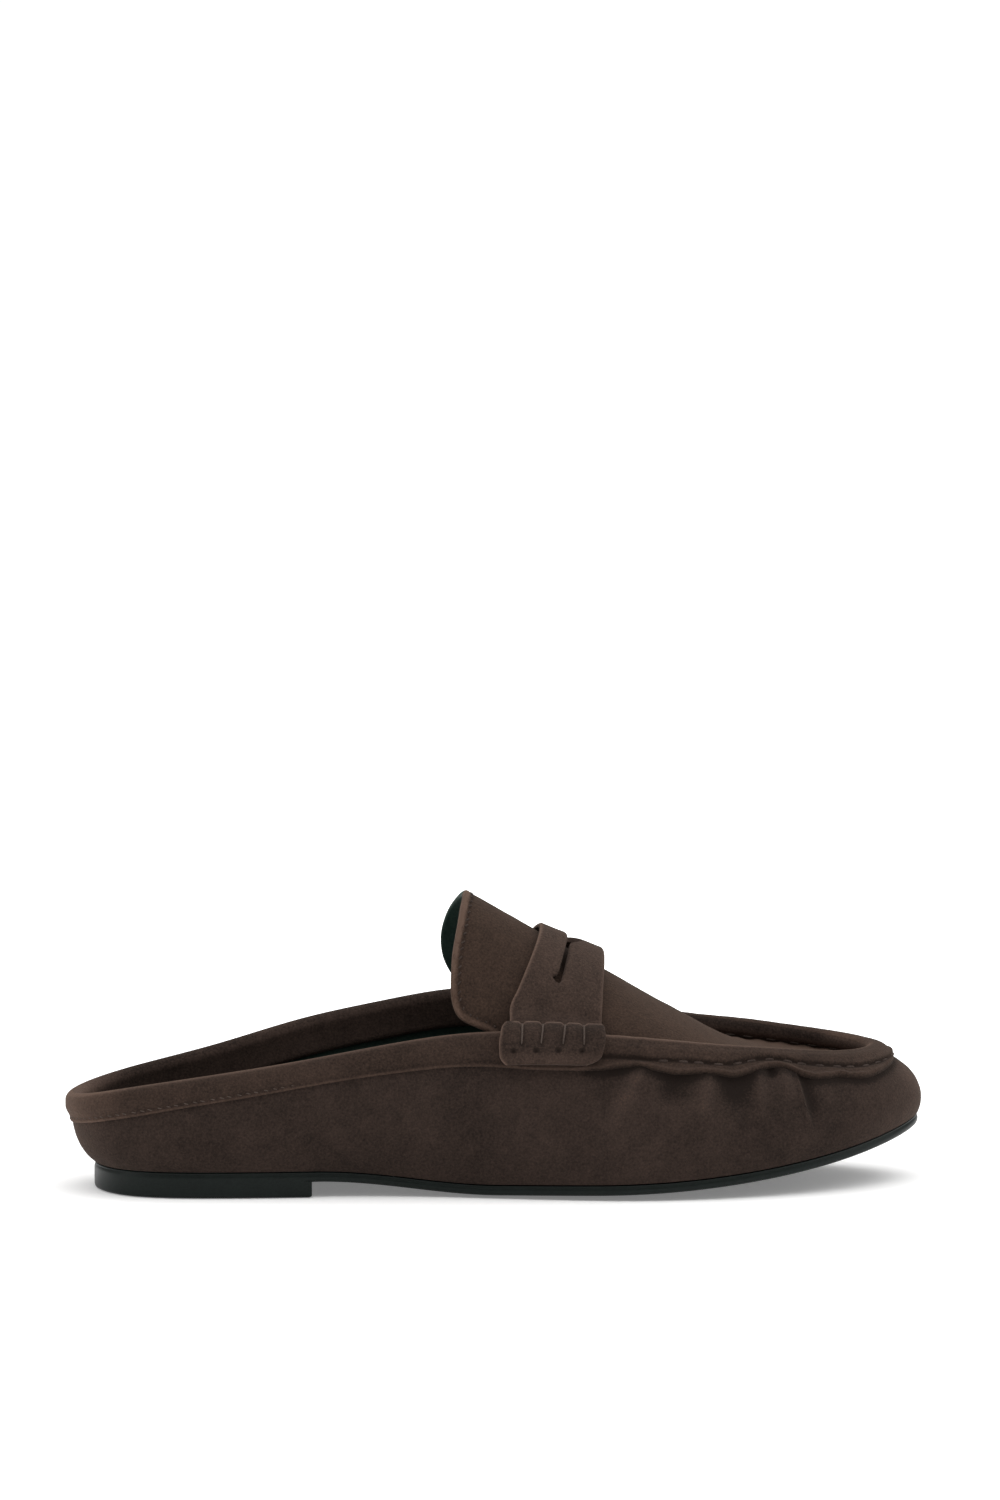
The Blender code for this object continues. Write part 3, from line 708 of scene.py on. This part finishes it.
def band_out(drop, edge, x):
    """Metres that the band's outer face stands out of the upper's skin."""
    front = ahead_of_strap(x)
    up, stitch = edge - drop, stitch_drop(x)
    collar = (
        -0.95 * ease(drop, stitch - 3.0 * MM, stitch)
        - 0.16 * hump(drop, stitch, 0.45 * MM)
        - 0.30 * hump(up, 0, 0.35 * MM)
    )
    lumps = 0.75 + 0.30 * np.sin(x / MM * 1.13) * ease(x / MM, 205, 218)
    ridge = (
        0.45 * hump(drop, 0.35 * stitch, 1.6 * MM)
        - 0.40 * ease(drop, stitch, stitch + 0.8 * MM)
        - 0.95 * hump(drop, stitch, 0.62 * MM)
        + 0.75 * lumps * hump(up, 1.0 * MM, 0.72 * MM)
        - 1.15 * hump(up, 0, 0.42 * MM)
    )
    return GAP + BAND + MM * (collar * (1 - front) + ridge * front)


# Steps of the fold over the edge, the step where the facing begins, and rows of its inner face
TURNS = 28
FACING_TURN = 13
INNER_ROWS = 11


def make_band():
    edge = band_depth(RING)[:, None]
    x = skin_x(RING, edge)[:, None]
    edge = edge + extra_hang(x)
    front = ease(x / MM, 141, 148)
    drop = edge * (1 - np.concatenate([np.linspace(0, 0.3, 14), np.linspace(0.33, 1, 26)]))
    outside = skin(RING, drop, band_out(drop, edge, x))[0]
    turn = np.linspace(0, 1, TURNS + 1)[None, 1:]
    angles = turn * math.pi
    start = band_out(np.zeros_like(edge), edge, x) + WALL / 2
    swell = 1 + 0.012 * front * np.sin(x / MM * 0.93) * np.sin(angles)
    top = start + (WALL / 2 + GAP + BAND - start) * (1 - np.cos(angles)) / 2
    over = roll(RING, top * swell, angles)
    shares = np.concatenate([np.linspace(0.12, 0.9, INNER_ROWS - 3), [0.95, 0.98, 1.0]])[None, :]
    thin = 0.7 * MM * hump((1 - shares) * BAND_INSIDE, 0, 0.5 * MM)
    inside = skin(RING, BAND_INSIDE * shares, thin - WALL - GAP - BAND)[0]
    back = skin(RING, BAND_INSIDE * np.array([[1.0, 0.5]]), -WALL - GAP)[0]
    under = roll(RING, WALL / 2 + GAP, math.pi * np.linspace(1, 0, 5)[None, :])
    behind = skin(RING, edge * np.array([[0.5, 1.0]]), GAP * 0.5)[0]
    rings = np.concatenate([outside, over, inside, back, under, behind], axis=1)
    first = outside.shape[1]
    last = first + TURNS
    up = edge - drop
    # Painted highlight along the raised seam's bead and painted shade under its lower edge
    bead = 0.15 * hump(up, 1.1 * MM, 0.55 * MM) - 0.6 * hump(up, 0, 0.35 * MM)
    # Painted highlight along the collar's lower edge
    lit = 0.5 + 0.45 * hump(up, 0.35 * MM, 0.35 * MM) * (1 - front) + bead * front
    # Painted shade along the stitch groove, deeper in front
    lit = lit - (0.12 + 0.48 * front) * hump(drop, stitch_drop(x), 0.7 * MM)
    # Painted light at the heel end
    heel_end_light = ease(0.016 - x, 0.0, 0.026)
    # Painted highlight on the crest of the fold over the edge: strong on the lateral side, faint on the
    # medial
    begin = 0.15 - 0.09 * front
    bright = ease(turn, begin, begin + 0.18) * (1 - ease(turn, 0.43, 0.47))
    lateral = 1 - ease(RING, 12.6, 14.4)[:, None]
    crest = 0.5 + (0.75 + 0.25 * front) * bright * (0.10 + 0.90 * lateral)
    # Painted shade just inside the crest
    crest = crest - 0.35 * ease(turn, 0.44, 0.50)
    # Painted light deeper down the inside, more in front
    crest = crest + (0.35 + 0.50 * front) * ease(turn, 0.62, 0.92)
    # Painted highlight on the toe's tip
    tip = ease(x, 0.226, 0.234) * np.sin(angles) ** 2
    tone = np.full(rings.shape[:2], 0.5)
    tone[:, :first] = lit + heel_end_light
    tone[:, first:last] = crest + heel_end_light + 0.5 * tip
    # Painted light on the raised seam's inner face
    tone[:, last : last + INNER_ROWS] += 0.50 * front
    column = np.tile(np.arange(rings.shape[1]), len(RING))
    facing = ((column >= first + FACING_TURN) & (column < last + INNER_ROWS)).astype(int)
    made = finish_mesh(
        "collar_and_seam", rings, loft(rings), [BANDING, FACING], facing, sharp=60, tone=tone
    )
    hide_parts("collar_band")


# Stitches


def along_path(points, start, pitch, length, samples):
    """Fractional places on a dense path for each stitch, spaced by arc length."""
    run = travel(points)
    count = int((run[-1] - start) / pitch)
    middles = start + pitch * (np.arange(count) + 0.5)
    middles = middles + 0.10 * pitch * np.sin(np.arange(count) * 2.1)
    spots = middles[:, None] + np.linspace(-0.5, 0.5, samples)[None, :] * length
    return np.interp(np.clip(spots, 0, run[-1]), run, np.arange(len(points)))


def skin_stitches(name, station, drop, out, pitch, length, radius, paint, sag, lean=0.0):
    """A row of stitches on the skin, sizes in millimetres: sag buries their ends, lean tilts them."""
    points = skin(station, drop, out[:, None])[0][:, 0]
    places = along_path(points, pitch / 2 * MM, pitch * MM, length * MM, 9)
    order = np.arange(len(station))
    there, down, lift = (np.interp(places.ravel(), order, row) for row in (station, drop, out))
    bow = np.tile(np.linspace(-1, 1, places.shape[1]), len(places))
    path, normal, _ = skin(there, down + lean * MM * bow, (lift - sag * MM * bow**4)[:, None])
    shape = (*places.shape, 3)
    tubes(name, path.reshape(shape), normal.reshape(shape), radius * MM, paint, flat=0.7)


def seam_row(first, last):
    """Stations from first to last, with x, the stitches' drop and how far the band stands out."""
    station = np.linspace(first, last, 900)
    edge = band_depth(station)
    x = skin_x(station, edge)
    drop = stitch_drop(x)
    return station, x, drop, band_out(drop, edge + extra_hang(x), x)


def make_seam_stitches():
    station, x, drop, out = seam_row(8.25, SPANS - 8.25)
    skin_stitches("seam_stitches", station, drop, out + 0.10 * MM, 5.6, 3.3, 0.42, THREAD, 0.5)
    drop, out = np.full_like(x, 0.9 * MM), np.full_like(x, 0.2 * MM - (WALL + 2 * GAP + BAND))
    skin_stitches("inner_seam_stitches", station, drop, out, 6.7, 3.4, 0.42, PALE_THREAD, -0.4)
    station, x, drop, out = seam_row(-6.45, 6.45)
    out = out - 0.02 * MM - 0.30 * MM * ease(x, 0.045, 0.090)
    skin_stitches("collar_stitches", station, drop, out, 2.65, 1.9, 0.19, PALE_THREAD, 0.20, 0.45)


# Apron and tongue


def make_apron():
    angle = np.linspace(0, math.pi, 121)
    ramp = np.linspace(0, 1, 230)
    rows = TONGUE_BACK + (SEAM_TIP - TONGUE_BACK) * (0.25 * ramp + 0.75 * (1 - (1 - ramp) ** 1.35))
    edge_rows = np.array([0.0, 0.1, 0.25, 0.45, 0.7, 0.95, 1.2, 1.45, 1.7, 1.95, 2.3, 2.7, 3.1]) * MM
    rows = np.concatenate([TONGUE_BACK + edge_rows, rows[rows > TONGUE_BACK + 3.4 * MM]])
    x, phi = np.meshgrid(rows, angle, indexing="ij")
    x = x - ear(phi) * np.clip(1 - (x - TONGUE_BACK) / TONGUE_EAR_FADE, 0, 1) ** 2
    outer, normal, height = apron_skin(x, phi), apron_normal(x, phi), np.abs(np.sin(phi))
    behind = from_tongue_edge(outer)
    arris = np.exp(-behind / (0.22 * MM))
    near_seam = hump(np.minimum(phi, math.pi - phi), 0, 0.55) * ease(x, 0.150, 0.160)
    tucks = near_seam * np.sin(x / MM * 0.93 + 0.8 * height) * np.clip(height * 6, 0, 1)
    soft = ripple(x, outer[..., 1], 2.2) * height**2
    groove, welt = hump(behind, TONGUE_STITCH, 0.5 * MM), hump(behind, 1.1 * MM, 0.8 * MM)
    relief = MM * (0.32 * tucks + 0.12 * soft - 0.55 * arris - 0.20 * groove + 0.25 * welt)
    face = outer + normal * relief[..., None]
    thick = APRON + MM * (0.65 * np.exp(-behind / (5 * MM)) - 0.5 * arris)
    inner = outer - normal * thick[..., None]
    for grid in (face, inner):
        grid[-1] = grid[-1].mean(axis=0)
    # Painted highlight along the tongue's edge, uneven along it and stronger towards the top of the arch
    tongue_edge_highlight = np.exp(-((behind / (1.7 * MM)) ** 4)) * (0.85 + 0.60 * ease(height, 0.5, 0.95))
    fuzz = 1 + 0.40 * ripple(8 * x, 8 * outer[..., 2], 4.0)
    # Painted shadow on the apron under the strap
    shadow_under_strap = ease(x, 0.1330, 0.1370) * (1 - ease(x, 0.1480, 0.1505)) * ease(height, 0.80, 0.93)
    # Painted light on the apron's floor towards the toe
    toe_floor_light = 0.12 * ease(x, 0.148, 0.156) + 0.38 * ease(x, 0.150, 0.225)
    # The stitch groove gets painted shade
    tone = 0.5 + tongue_edge_highlight * fuzz - 0.18 * groove - 0.9 * shadow_under_strap + toe_floor_light
    made = sheet("apron_and_tongue", face, inner, [PLUG, LINING], tone)
    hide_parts("apron")
    stitch_tongue(x, phi, behind)


def from_tongue_edge(points):
    """Distance of each point of a grid from the grid's first row, which is the tongue's free edge."""
    edge = points[0]
    dense = np.concatenate([edge[:-1] * (1 - s) + edge[1:] * s for s in (0.0, 0.25, 0.5, 0.75)])
    found = np.array([np.linalg.norm(row[:, None] - dense, axis=-1).min(axis=1) for row in points])
    found[0] = 0.0
    return found


def sheet(name, top, bottom, materials, tone):
    """A solid between two grids: the outer face and the lateral rim take the first material."""
    rows, columns = tone.shape
    face, rim = quads(rows, columns), border(rows, columns)
    faces = np.concatenate([face, face + tone.size, walls(rim, tone.size)]).tolist()
    kinds = np.concatenate([np.repeat([0, 1], len(face)), rim % columns > columns // 2])
    tones = np.concatenate([tone, np.full_like(tone, 0.5)])
    tones[rows] = 1.0
    return finish_mesh(name, np.concatenate([top, bottom]), faces, materials, kinds, sharp=55, tone=tones)


def stitch_tongue(x, phi, behind):
    """Slanted whip stitches that follow the tongue's free edge at a fixed distance."""
    columns = range(5, phi.shape[1] - 5)
    angle = np.linspace(phi[0, 5], phi[0, -6], 700)
    inset = [np.interp(TONGUE_STITCH, behind[:, j], x[:, j]) for j in columns]
    along = np.interp(angle, phi[0, 5:-5], inset)
    places = along_path(apron_skin(along, angle), 1.0 * MM, 2.65 * MM, 1.5 * MM, 7)
    spot = np.interp(places, np.arange(len(angle)), angle)
    bow = np.linspace(-1, 1, places.shape[1])
    x = np.interp(spot, angle, along) + 0.55 * MM * bow * np.sign(math.pi / 2 - spot)
    normal = apron_normal(x, spot)
    path = apron_skin(x, spot) + normal * MM * (0.02 - 0.25 * bow[:, None] ** 4)
    tubes("tongue_stitches", path, normal, 0.24 * MM, THREAD, flat=0.8)


# Saddle strap

# Index of the strap's middle column, and the slot's width in metres below which it is shut
MIDDLE = 30
SHUT = 1e-6


def strap_edges(share):
    back = STRAP_SIDE_BACK + (STRAP_CROWN_BACK - STRAP_SIDE_BACK) * share
    front = STRAP_SIDE_FRONT + (STRAP_CROWN_FRONT - STRAP_SIDE_FRONT) * share
    return back + STRAP_BOW * share * (1 - share), front


def strap_over_apron(angle, across):
    share = abs(math.sin(angle)) ** ARCH_POWER
    back, front = strap_edges(share)
    x = back + (front - back) * across
    crown_lift = STRAP_LIFT_BACK + (STRAP_LIFT_FRONT - STRAP_LIFT_BACK) * across
    lift = GAP + STRAP / 2 + crown_lift * share**2
    phi = np.full_like(x, angle)
    return apron_skin(x, phi) + apron_normal(x, phi) * lift[:, None]


def rim_station(x, medial):
    stations = np.linspace(1.0, TOE_STATION, 1200)
    found = np.interp(x, along_spline(RIM_RING, stations)[:, 0], stations)
    return SPANS - found if medial else found


def strap_end(across, medial):
    """Rows of the strap's middle surface from its tab's lower edge up over the band."""
    stand = 2 * GAP + BAND + STRAP / 2
    tab_back = TAB_BACK + 0.5 * MM
    width = TAB_FRONT - tab_back
    rows = []
    for drop in np.linspace(1.0, 0.08, 12):
        inset = TAB_CORNER * max(0.0, (drop - 0.62) / 0.38) ** 2.2
        x = tab_back + 0.55 * inset + (width - 1.55 * inset - TAB_SLANT * drop**2) * across
        rows.append(skin(rim_station(x, medial), STRAP_TAB * drop, stand)[0][:, 0])

    def over_edge(turn, forward, narrower):
        x = tab_back + forward * MM + (width - narrower * MM) * across
        return roll(rim_station(x, medial), WALL / 2 + stand, turn * math.pi)[:, 0]

    for turn, forward in ((0.0, 0.2), (0.11, 0.4), (0.22, 0.8), (0.33, 1.4), (0.43, 2.2)):
        rows.append(over_edge(turn, forward, 1.2 * forward))
    start = math.pi - STRAP_START if medial else STRAP_START
    rows.append(0.78 * over_edge(0.47, 2.8, 3.6) + 0.22 * strap_over_apron(start, across))
    return rows


def slot_span(y):
    """x of the slot's back and front edges across the shoe."""
    s = np.clip(y / SLOT_HALF_LENGTH, -1, 1)
    side = np.abs(s)
    middle = SLOT_BACK - SLOT_SWEEP * s**2 + 0.5 * MM
    wide = (0.95 + 0.75 * side**2) * MM * np.sqrt(np.clip(1 - side**14, 0, 1))
    notch = SLOT_NOTCH * np.clip(1 - side / 0.36, 0, None) ** 0.9
    hook = 1.5 * MM * hump(side, 0.955, 0.035) * (side < 1)
    return middle - wide / 2 - hook, middle + wide / 2 + notch


def strap_surface():
    """Fine grid of the strap's middle surface, its normals, and each row's distance from the end."""
    across = np.linspace(0, 1, 2 * MIDDLE + 1)
    angles = np.linspace(STRAP_START, math.pi - STRAP_START, 15)
    rows = strap_end(across, medial=False)
    rows += [strap_over_apron(angle, across) for angle in angles]
    rows = np.array(rows + strap_end(across, medial=True)[::-1])
    places = travel(rows[:, MIDDLE])
    tab = [np.linspace(0, 1, 8), np.linspace(1.3, 11.6, 30), np.linspace(11.8, 15.2, 22)]
    tab = np.concatenate(tab) * MM
    over = np.linspace(tab[-1], places[-1] - tab[-1], 190)[1:-1]
    wanted = np.concatenate([tab, over, places[-1] - tab[::-1]])
    middle = smooth_table(wanted, places, rows)
    normal = unit(np.cross(np.gradient(middle, axis=1), np.gradient(middle, axis=0)))
    normal = normal * np.sign(normal[len(normal) // 2, MIDDLE, 2])
    return across, middle, normal, np.minimum(wanted, places[-1] - wanted)


def slot_shares(across, middle, width, from_end):
    """Where the slot's two edges cross each row, as shares of the strap's width."""
    low, high = np.full((2, len(middle)), 0.5)
    for i, row in enumerate(middle):
        spot = np.interp(0.48, across, row[:, 1])
        back, front = slot_span(spot)
        found = np.interp([back, front], np.maximum.accumulate(row[:, 0]), across)
        if row[MIDDLE, 2] < THROAT_HEIGHT or abs(spot) >= SLOT_HALF_LENGTH:
            found[:] = found.mean()
        low[i], high[i] = found
    gap = (high - low) * width
    settle = ease(from_end, 14 * MM, 24 * MM)
    shut = gap < SHUT
    low = np.where(shut, 0.5 + (low - 0.5) * settle, low)
    high = np.where(shut, low, high)
    return low, high, gap


def whip_line(row, from_end):
    """x of a whip stitch at each distance from the strap's end."""
    return row.low + (row.top - row.low) * ease(from_end, WHIP_LOW, ROLL_TOP)


def tab_relief(x, from_end):
    """Metres out of the strap where its end is rolled and whipped, and the painted highlight and shade
    that go with it.
    """
    x = x / MM
    inside = ease(from_end, 2.6 * MM, 4.6 * MM)
    seams, holes = np.zeros_like(x), np.zeros_like(x)
    for row in WHIPS:
        seams = seams + hump(x, whip_line(row, from_end), 0.75) * ease(from_end, 4.8 * MM, 6.0 * MM)
        holes = holes + hump(x, row.hole, 0.62) * hump(from_end, HOLE_HEIGHT, 0.50 * MM)
    lip = ROLL_TOP + 0.25 * MM - 0.7 * MM * np.clip(seams, 0, 1)
    on_roll = 1 - ease(from_end, lip - 0.35 * MM, lip + 0.45 * MM)
    out = MM * ((0.35 + 0.75 * inside - 0.62 * seams * inside) * on_roll - 0.9 * holes)
    # Painted highlight on the roll's top
    crest = hump(from_end, lip - 0.55 * MM, 0.50 * MM) * ease(x, 123.2, 125.2)
    # Painted shade just past the roll
    behind = hump(from_end, lip + 0.9 * MM, 0.8 * MM)
    # Painted shade over the whipped face, deeper in the seams
    shade = (0.24 + 0.22 * seams) * inside * on_roll
    # The holes get painted shade
    return out, 1.15 * crest - 0.30 * behind - 1.6 * holes - shade


def make_strap():
    across, middle, normal, from_end = strap_surface()
    width = np.linalg.norm(middle[:, -1] - middle[:, 0], axis=1)[:, None]
    low_share, high_share, gap = slot_shares(across, middle, width[:, 0], from_end)
    opened = np.clip(gap / (0.6 * MM), 0, 1)[:, None]
    from_end = from_end[:, None]

    def columns(low, high):
        """Shares of the width at each column from low to high, and distances from both."""
        span = (high - low)[:, None] * width
        edge = np.minimum(np.array([0.0, 0.1, 0.25, 0.5, 0.9]) * MM, span * 0.2)
        start, stop = edge[:, -1:], span - edge[:, -1:]
        body = start + (stop - start) * np.linspace(0, 1, 44)[1:-1]
        distance = np.concatenate([edge, body, span - edge[:, ::-1]], axis=1)
        return low[:, None] + distance / width, distance, span - distance

    def sample(grid, shares):
        place = np.clip(shares, 0, 1) * (len(across) - 1)
        first = np.minimum(place.astype(int), len(across) - 2)
        row = np.arange(len(grid))[:, None]
        part = (place - first)[..., None]
        return grid[row, first] * (1 - part) + grid[row, first + 1] * part

    points, tones, faces, kinds, count = [], [], [], [], 0
    for rear in (True, False):
        limits = (np.zeros(len(middle)), low_share) if rear else (high_share, np.ones(len(middle)))
        shares, *distances = columns(*limits)
        side_distance, slot_distance = distances if rear else distances[::-1]
        outer_distance = np.minimum(side_distance, from_end)
        base, lean = sample(middle, shares), unit(sample(normal, shares))
        relief, tone = tab_relief(base[..., 0], from_end)
        arris = 0.50 * np.exp(-((outer_distance / (0.32 * MM)) ** 1.3))
        arris = arris + 0.42 * opened * np.exp(-((slot_distance / (0.35 * MM)) ** 1.3))
        soft = 0.10 * ripple(base[..., 0], base[..., 1] + base[..., 2], 0.6)
        outer = base + lean * (STRAP / 2 + relief + MM * (soft - arris))[..., None]
        inner = base - lean * (STRAP / 2 - 0.15 * MM * np.exp(-outer_distance / (0.3 * MM)))[..., None]
        # Painted highlight along the strap's sides, strong on the back edge and fainter on the front edge
        edge_highlight = hump(side_distance, 0, (0.60 if rear else 0.75) * MM)
        tone = tone + edge_highlight * (1.15 if rear else 0.10 + 0.45 * ease(from_end, 14 * MM, 20 * MM))
        # Painted shade along the slot's edges
        tone = 0.5 + tone - 0.2 * opened * hump(slot_distance, 0, 0.3 * MM)
        size, wide = shares.size, shares.shape[1]
        face, rim = quads(*shares.shape), border(*shares.shape)
        follow, slot_side = np.roll(rim, -1), (wide - 1 if rear else 0)
        along_slot = (rim % wide == slot_side) & (follow % wide == slot_side)
        shut = (gap[rim // wide] <= SHUT) & (gap[follow // wide] <= SHUT)
        wall = walls(rim, size)[~(along_slot & shut)]
        faces.append(np.concatenate([face, face + size, wall]) + count)
        kinds += [0] * (2 * len(face)) + [1] * len(wall)
        points += [outer, inner]
        tones += [tone, np.full(shares.shape, 0.3)]
        count += 2 * size
    made = finish_mesh(
        "saddle", np.concatenate(points), np.concatenate(faces).tolist(), [SADDLE, FACING], kinds,
        merge=2e-6, sharp=60, tone=np.concatenate(tones),
    )
    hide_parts("saddle_strap")
    whip_stitches(across, middle, normal, from_end[:, 0])


def whip_stitches(across, middle, normal, from_end):
    spots = np.linspace(WHIP_LOW, ROLL_TOP + 0.1 * MM, 15)
    sunk = 0.5 * MM * hump(spots, spots[0], 0.7 * MM)
    paths, normals = [], []
    half = len(middle) // 2
    for rows in (slice(0, half), slice(len(middle) - 1, half, -1)):
        grid, lean, distance = middle[rows], normal[rows], from_end[rows]
        places = np.interp(spots, distance, np.arange(len(distance)))
        for row in WHIPS:
            path, up = [], []
            for place, along in zip(places, whip_line(row, spots) * MM):
                k, part = int(place), place - int(place)
                line = grid[k] * (1 - part) + grid[k + 1] * part
                share = np.interp(along, line[:, 0], across)
                path.append([np.interp(share, across, column) for column in line.T])
                up.append([np.interp(share, across, column) for column in lean[k].T])
            path, up = np.array(path), unit(np.array(up))
            out = tab_relief(path[:, 0], spots)[0] + STRAP / 2 + 0.10 * MM - sunk
            paths.append(path + up * out[:, None])
            normals.append(up)
    tubes("whip_stitches", np.array(paths), np.array(normals), 0.31 * MM, PALE_THREAD)


# Sole, heel and insole

# The sole's edge from below to above: inset in millimetres and share of the thickness
EDGE_PROFILE = (
    (1.60, 0.00), (0.85, 0.02), (0.45, 0.09), (0.18, 0.20), (0.04, 0.34), (0.00, 0.46), (0.05, 0.60),
    (0.17, 0.72), (0.34, 0.82), (0.36, 0.86), (0.22, 0.90), (0.24, 0.96), (0.50, 1.00),
)


def slab(name, node, paint, profile, low, high, columns):
    """A sheet shaped like the sole, whose edge follows a profile of insets (mm) and levels."""
    station = np.linspace(0, TOE_STATION, 170)
    shares = np.linspace(0, 1, columns)[1:-1]

    def edge(stations):
        ring = []
        over_heel = ease(sole_edge(stations)[:, :1], 0.061, 0.068)
        for inset, level in profile:
            inset = inset * MM * (over_heel if node == "outsole" and level < 0.5 else 1)
            plan = sole_edge(stations, inset)
            bottom, top = low(*plan.T), high(*plan.T)
            ring.append(np.column_stack([plan, bottom + (top - bottom) * level]))
        return ring

    def face(first, second, height):
        plans = [first[:, :2] * (1 - s) + second[:, :2] * s for s in shares]
        return [np.column_stack([plan, height(*plan.T)]) for plan in plans]

    lateral, medial = edge(station), edge(SPANS - station)
    loop = face(medial[0], lateral[0], low) + lateral
    loop += face(lateral[-1], medial[-1], high) + medial[::-1]
    rings = np.stack(loop, axis=1)
    faces = quads(*rings.shape[:2], wrap_columns=True)
    made = finish_mesh(name, rings, faces.tolist(), [paint], merge=2e-5, sharp=60)
    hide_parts(node)


def make_heel():
    station = np.linspace(0, 4, 120)
    lateral, medial = sole_edge(station, 0.01 * MM), sole_edge(SPANS - station, 0.01 * MM)
    start = lateral[0, 0]
    share, across = np.linspace(0, 1, 60)[:, None], np.linspace(0, 1, 25)
    x = start + (HEEL_LENGTH - start) * share**1.5
    left = np.interp(x, lateral[:, 0], lateral[:, 1])
    right = np.interp(x, medial[:, 0], medial[:, 1])
    hollow = HEEL_HOLLOW * share**4 * (1 - (2 * across - 1) ** 2)
    plan = np.stack([x - hollow, left + (right - left) * across], axis=-1)
    top = tread(plan[..., 0], plan[..., 1]) + 0.30 * MM
    inward = unit(np.array([0.032, 0.0]) - plan)
    layers = []
    for inset, level in ((0.7, 0.0), (0.2, 0.05), (0.0, 0.16), (0.0, 0.90), (0.0, 1.0)):
        layers.append(np.dstack([plan + inward * (inset * MM), top * level]))
    shape, size, last = plan.shape[:2], top.size, len(layers) - 1
    faces = [quads(*shape), quads(*shape) + last * size]
    faces += [walls(border(*shape) + k * size, size) for k in range(last)]
    points = np.concatenate(layers).reshape(-1, 3)
    points, faces = used_only(points, np.concatenate(faces))
    made = finish_mesh("heel_block", points, faces, [SOLE], merge=1e-5, sharp=55)
    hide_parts("heel")


def used_only(points, faces):
    used, order = np.unique(faces, return_inverse=True)
    return points[used], order.reshape(faces.shape).tolist()


make_upper()
make_band()
make_seam_stitches()
make_apron()
make_strap()
slab("sole_sheet", "outsole", SOLE, EDGE_PROFILE, tread, sole_top, 14)
make_heel()
slab(
    "sock", "insole", LINING,
    ((2.9, 0.0), (2.45, 0.25), (2.4, 0.7), (2.7, 0.93), (3.6, 1.0)),
    lambda x, y: sole_top(x, y) + GAP,
    lambda x, y: sole_top(x, y) + GAP + INSOLE_THICKNESS,
    24,
)


# Floor, light and camera


def make_floor():
    """A white floor that glows more with distance, so that it runs into the backdrop."""
    count = 25
    span = np.linspace(-1, 1, count) ** 3 * 6.0
    x, y = np.meshgrid(span, span, indexing="ij")
    points = np.stack([x, y, np.zeros_like(x)], axis=-1).reshape(-1, 3)
    mesh = bpy.data.meshes.new("studio_floor")
    mesh.from_pydata(points.tolist(), [], quads(count, count).tolist())
    paint, tree, shader = new_paint("studio_white")
    mottle = add(tree, "TexNoise", Scale=30)["Fac"]
    far = add(tree, "VectorMath", add(tree, "TexCoord")["Object"], operation="LENGTH")["Value"]
    glow = add(tree, "MapRange", far, 0.11, 0.60, 0.18, 0.95)["Result"]
    white = colours(tree, mottle, (0.0, (0.90,) * 3), (1.0, (0.92,) * 3))
    feed(
        tree, shader, Base_Color=white, Roughness=0.9, Specular_IOR_Level=0.1,
        Emission_Color=(1, 1, 1, 1), Emission_Strength=glow,
    )
    mesh.materials.append(paint)
    floor = new_object("studio_floor", mesh)
    floor.location.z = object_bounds()[0][2] - 0.0002


def area_light(name, place, size, power):
    light = bpy.data.lights.new(name, "AREA")
    light.shape = "RECTANGLE"
    light.size, light.size_y = size
    light.energy = power
    made = new_object(name, light)
    made.location = place
    aim = Vector((0.0, 0.0, 0.03)) - made.location
    made.rotation_euler = aim.to_track_quat("-Z", "Y").to_euler()


def make_light():
    """A white studio: the backdrop is white to the camera and lights the shoe more softly."""
    world = bpy.data.worlds.new("studio_world")
    bpy.context.scene.world = world
    world.use_nodes = True
    tree = world.node_tree
    soft = feed(tree, tree.nodes["Background"], (1.0, 0.985, 0.965, 1), 0.40)[0]
    seen = add(tree, "Background", (1, 1, 1, 1), 1.05)[0]
    to_camera = add(tree, "LightPath")["Is Camera Ray"]
    feed(tree, tree.nodes["World Output"], add(tree, "MixShader", to_camera, soft, seen)[0])
    area_light("overhead", (0.10, 0.00, 1.30), (2.4, 2.0), 29)
    area_light("left_panel", (-1.1, -0.25, 0.55), (0.7, 0.9), 2.6)
    area_light("right_panel", (1.1, -0.25, 0.55), (0.7, 0.9), 2.8)
    bpy.context.scene.view_settings.view_transform = "Standard"


def make_camera():
    azimuth, elevation, distance = math.radians(-4.0), math.radians(7.5), 1.6
    focal_pixels, picture_height, shoe_row = 5312.0, 1500, 1045
    tilt = elevation - math.atan((shoe_row - picture_height / 2) / focal_pixels)
    level = math.cos(elevation)
    toward = np.array([math.sin(azimuth) * level, -math.cos(azimuth) * level, math.sin(elevation)])
    right = np.array([math.cos(azimuth), math.sin(azimuth), 0.0])
    place = np.array([0.0, 0.0, 0.0413]) + distance * toward + right * 3.5 * distance / focal_pixels
    camera = bpy.data.cameras.new("photo_camera")
    camera.sensor_fit = "VERTICAL"
    camera.sensor_height = 36.0
    camera.lens = camera.sensor_height * focal_pixels / picture_height
    camera.clip_start, camera.clip_end = 0.05, 50
    made = new_object("photo_camera", camera)
    made.location = place.tolist()
    made.rotation_euler = (math.pi / 2 - tilt, 0.0, azimuth)
    bpy.context.scene.camera = made


make_floor()
make_light()
make_camera()
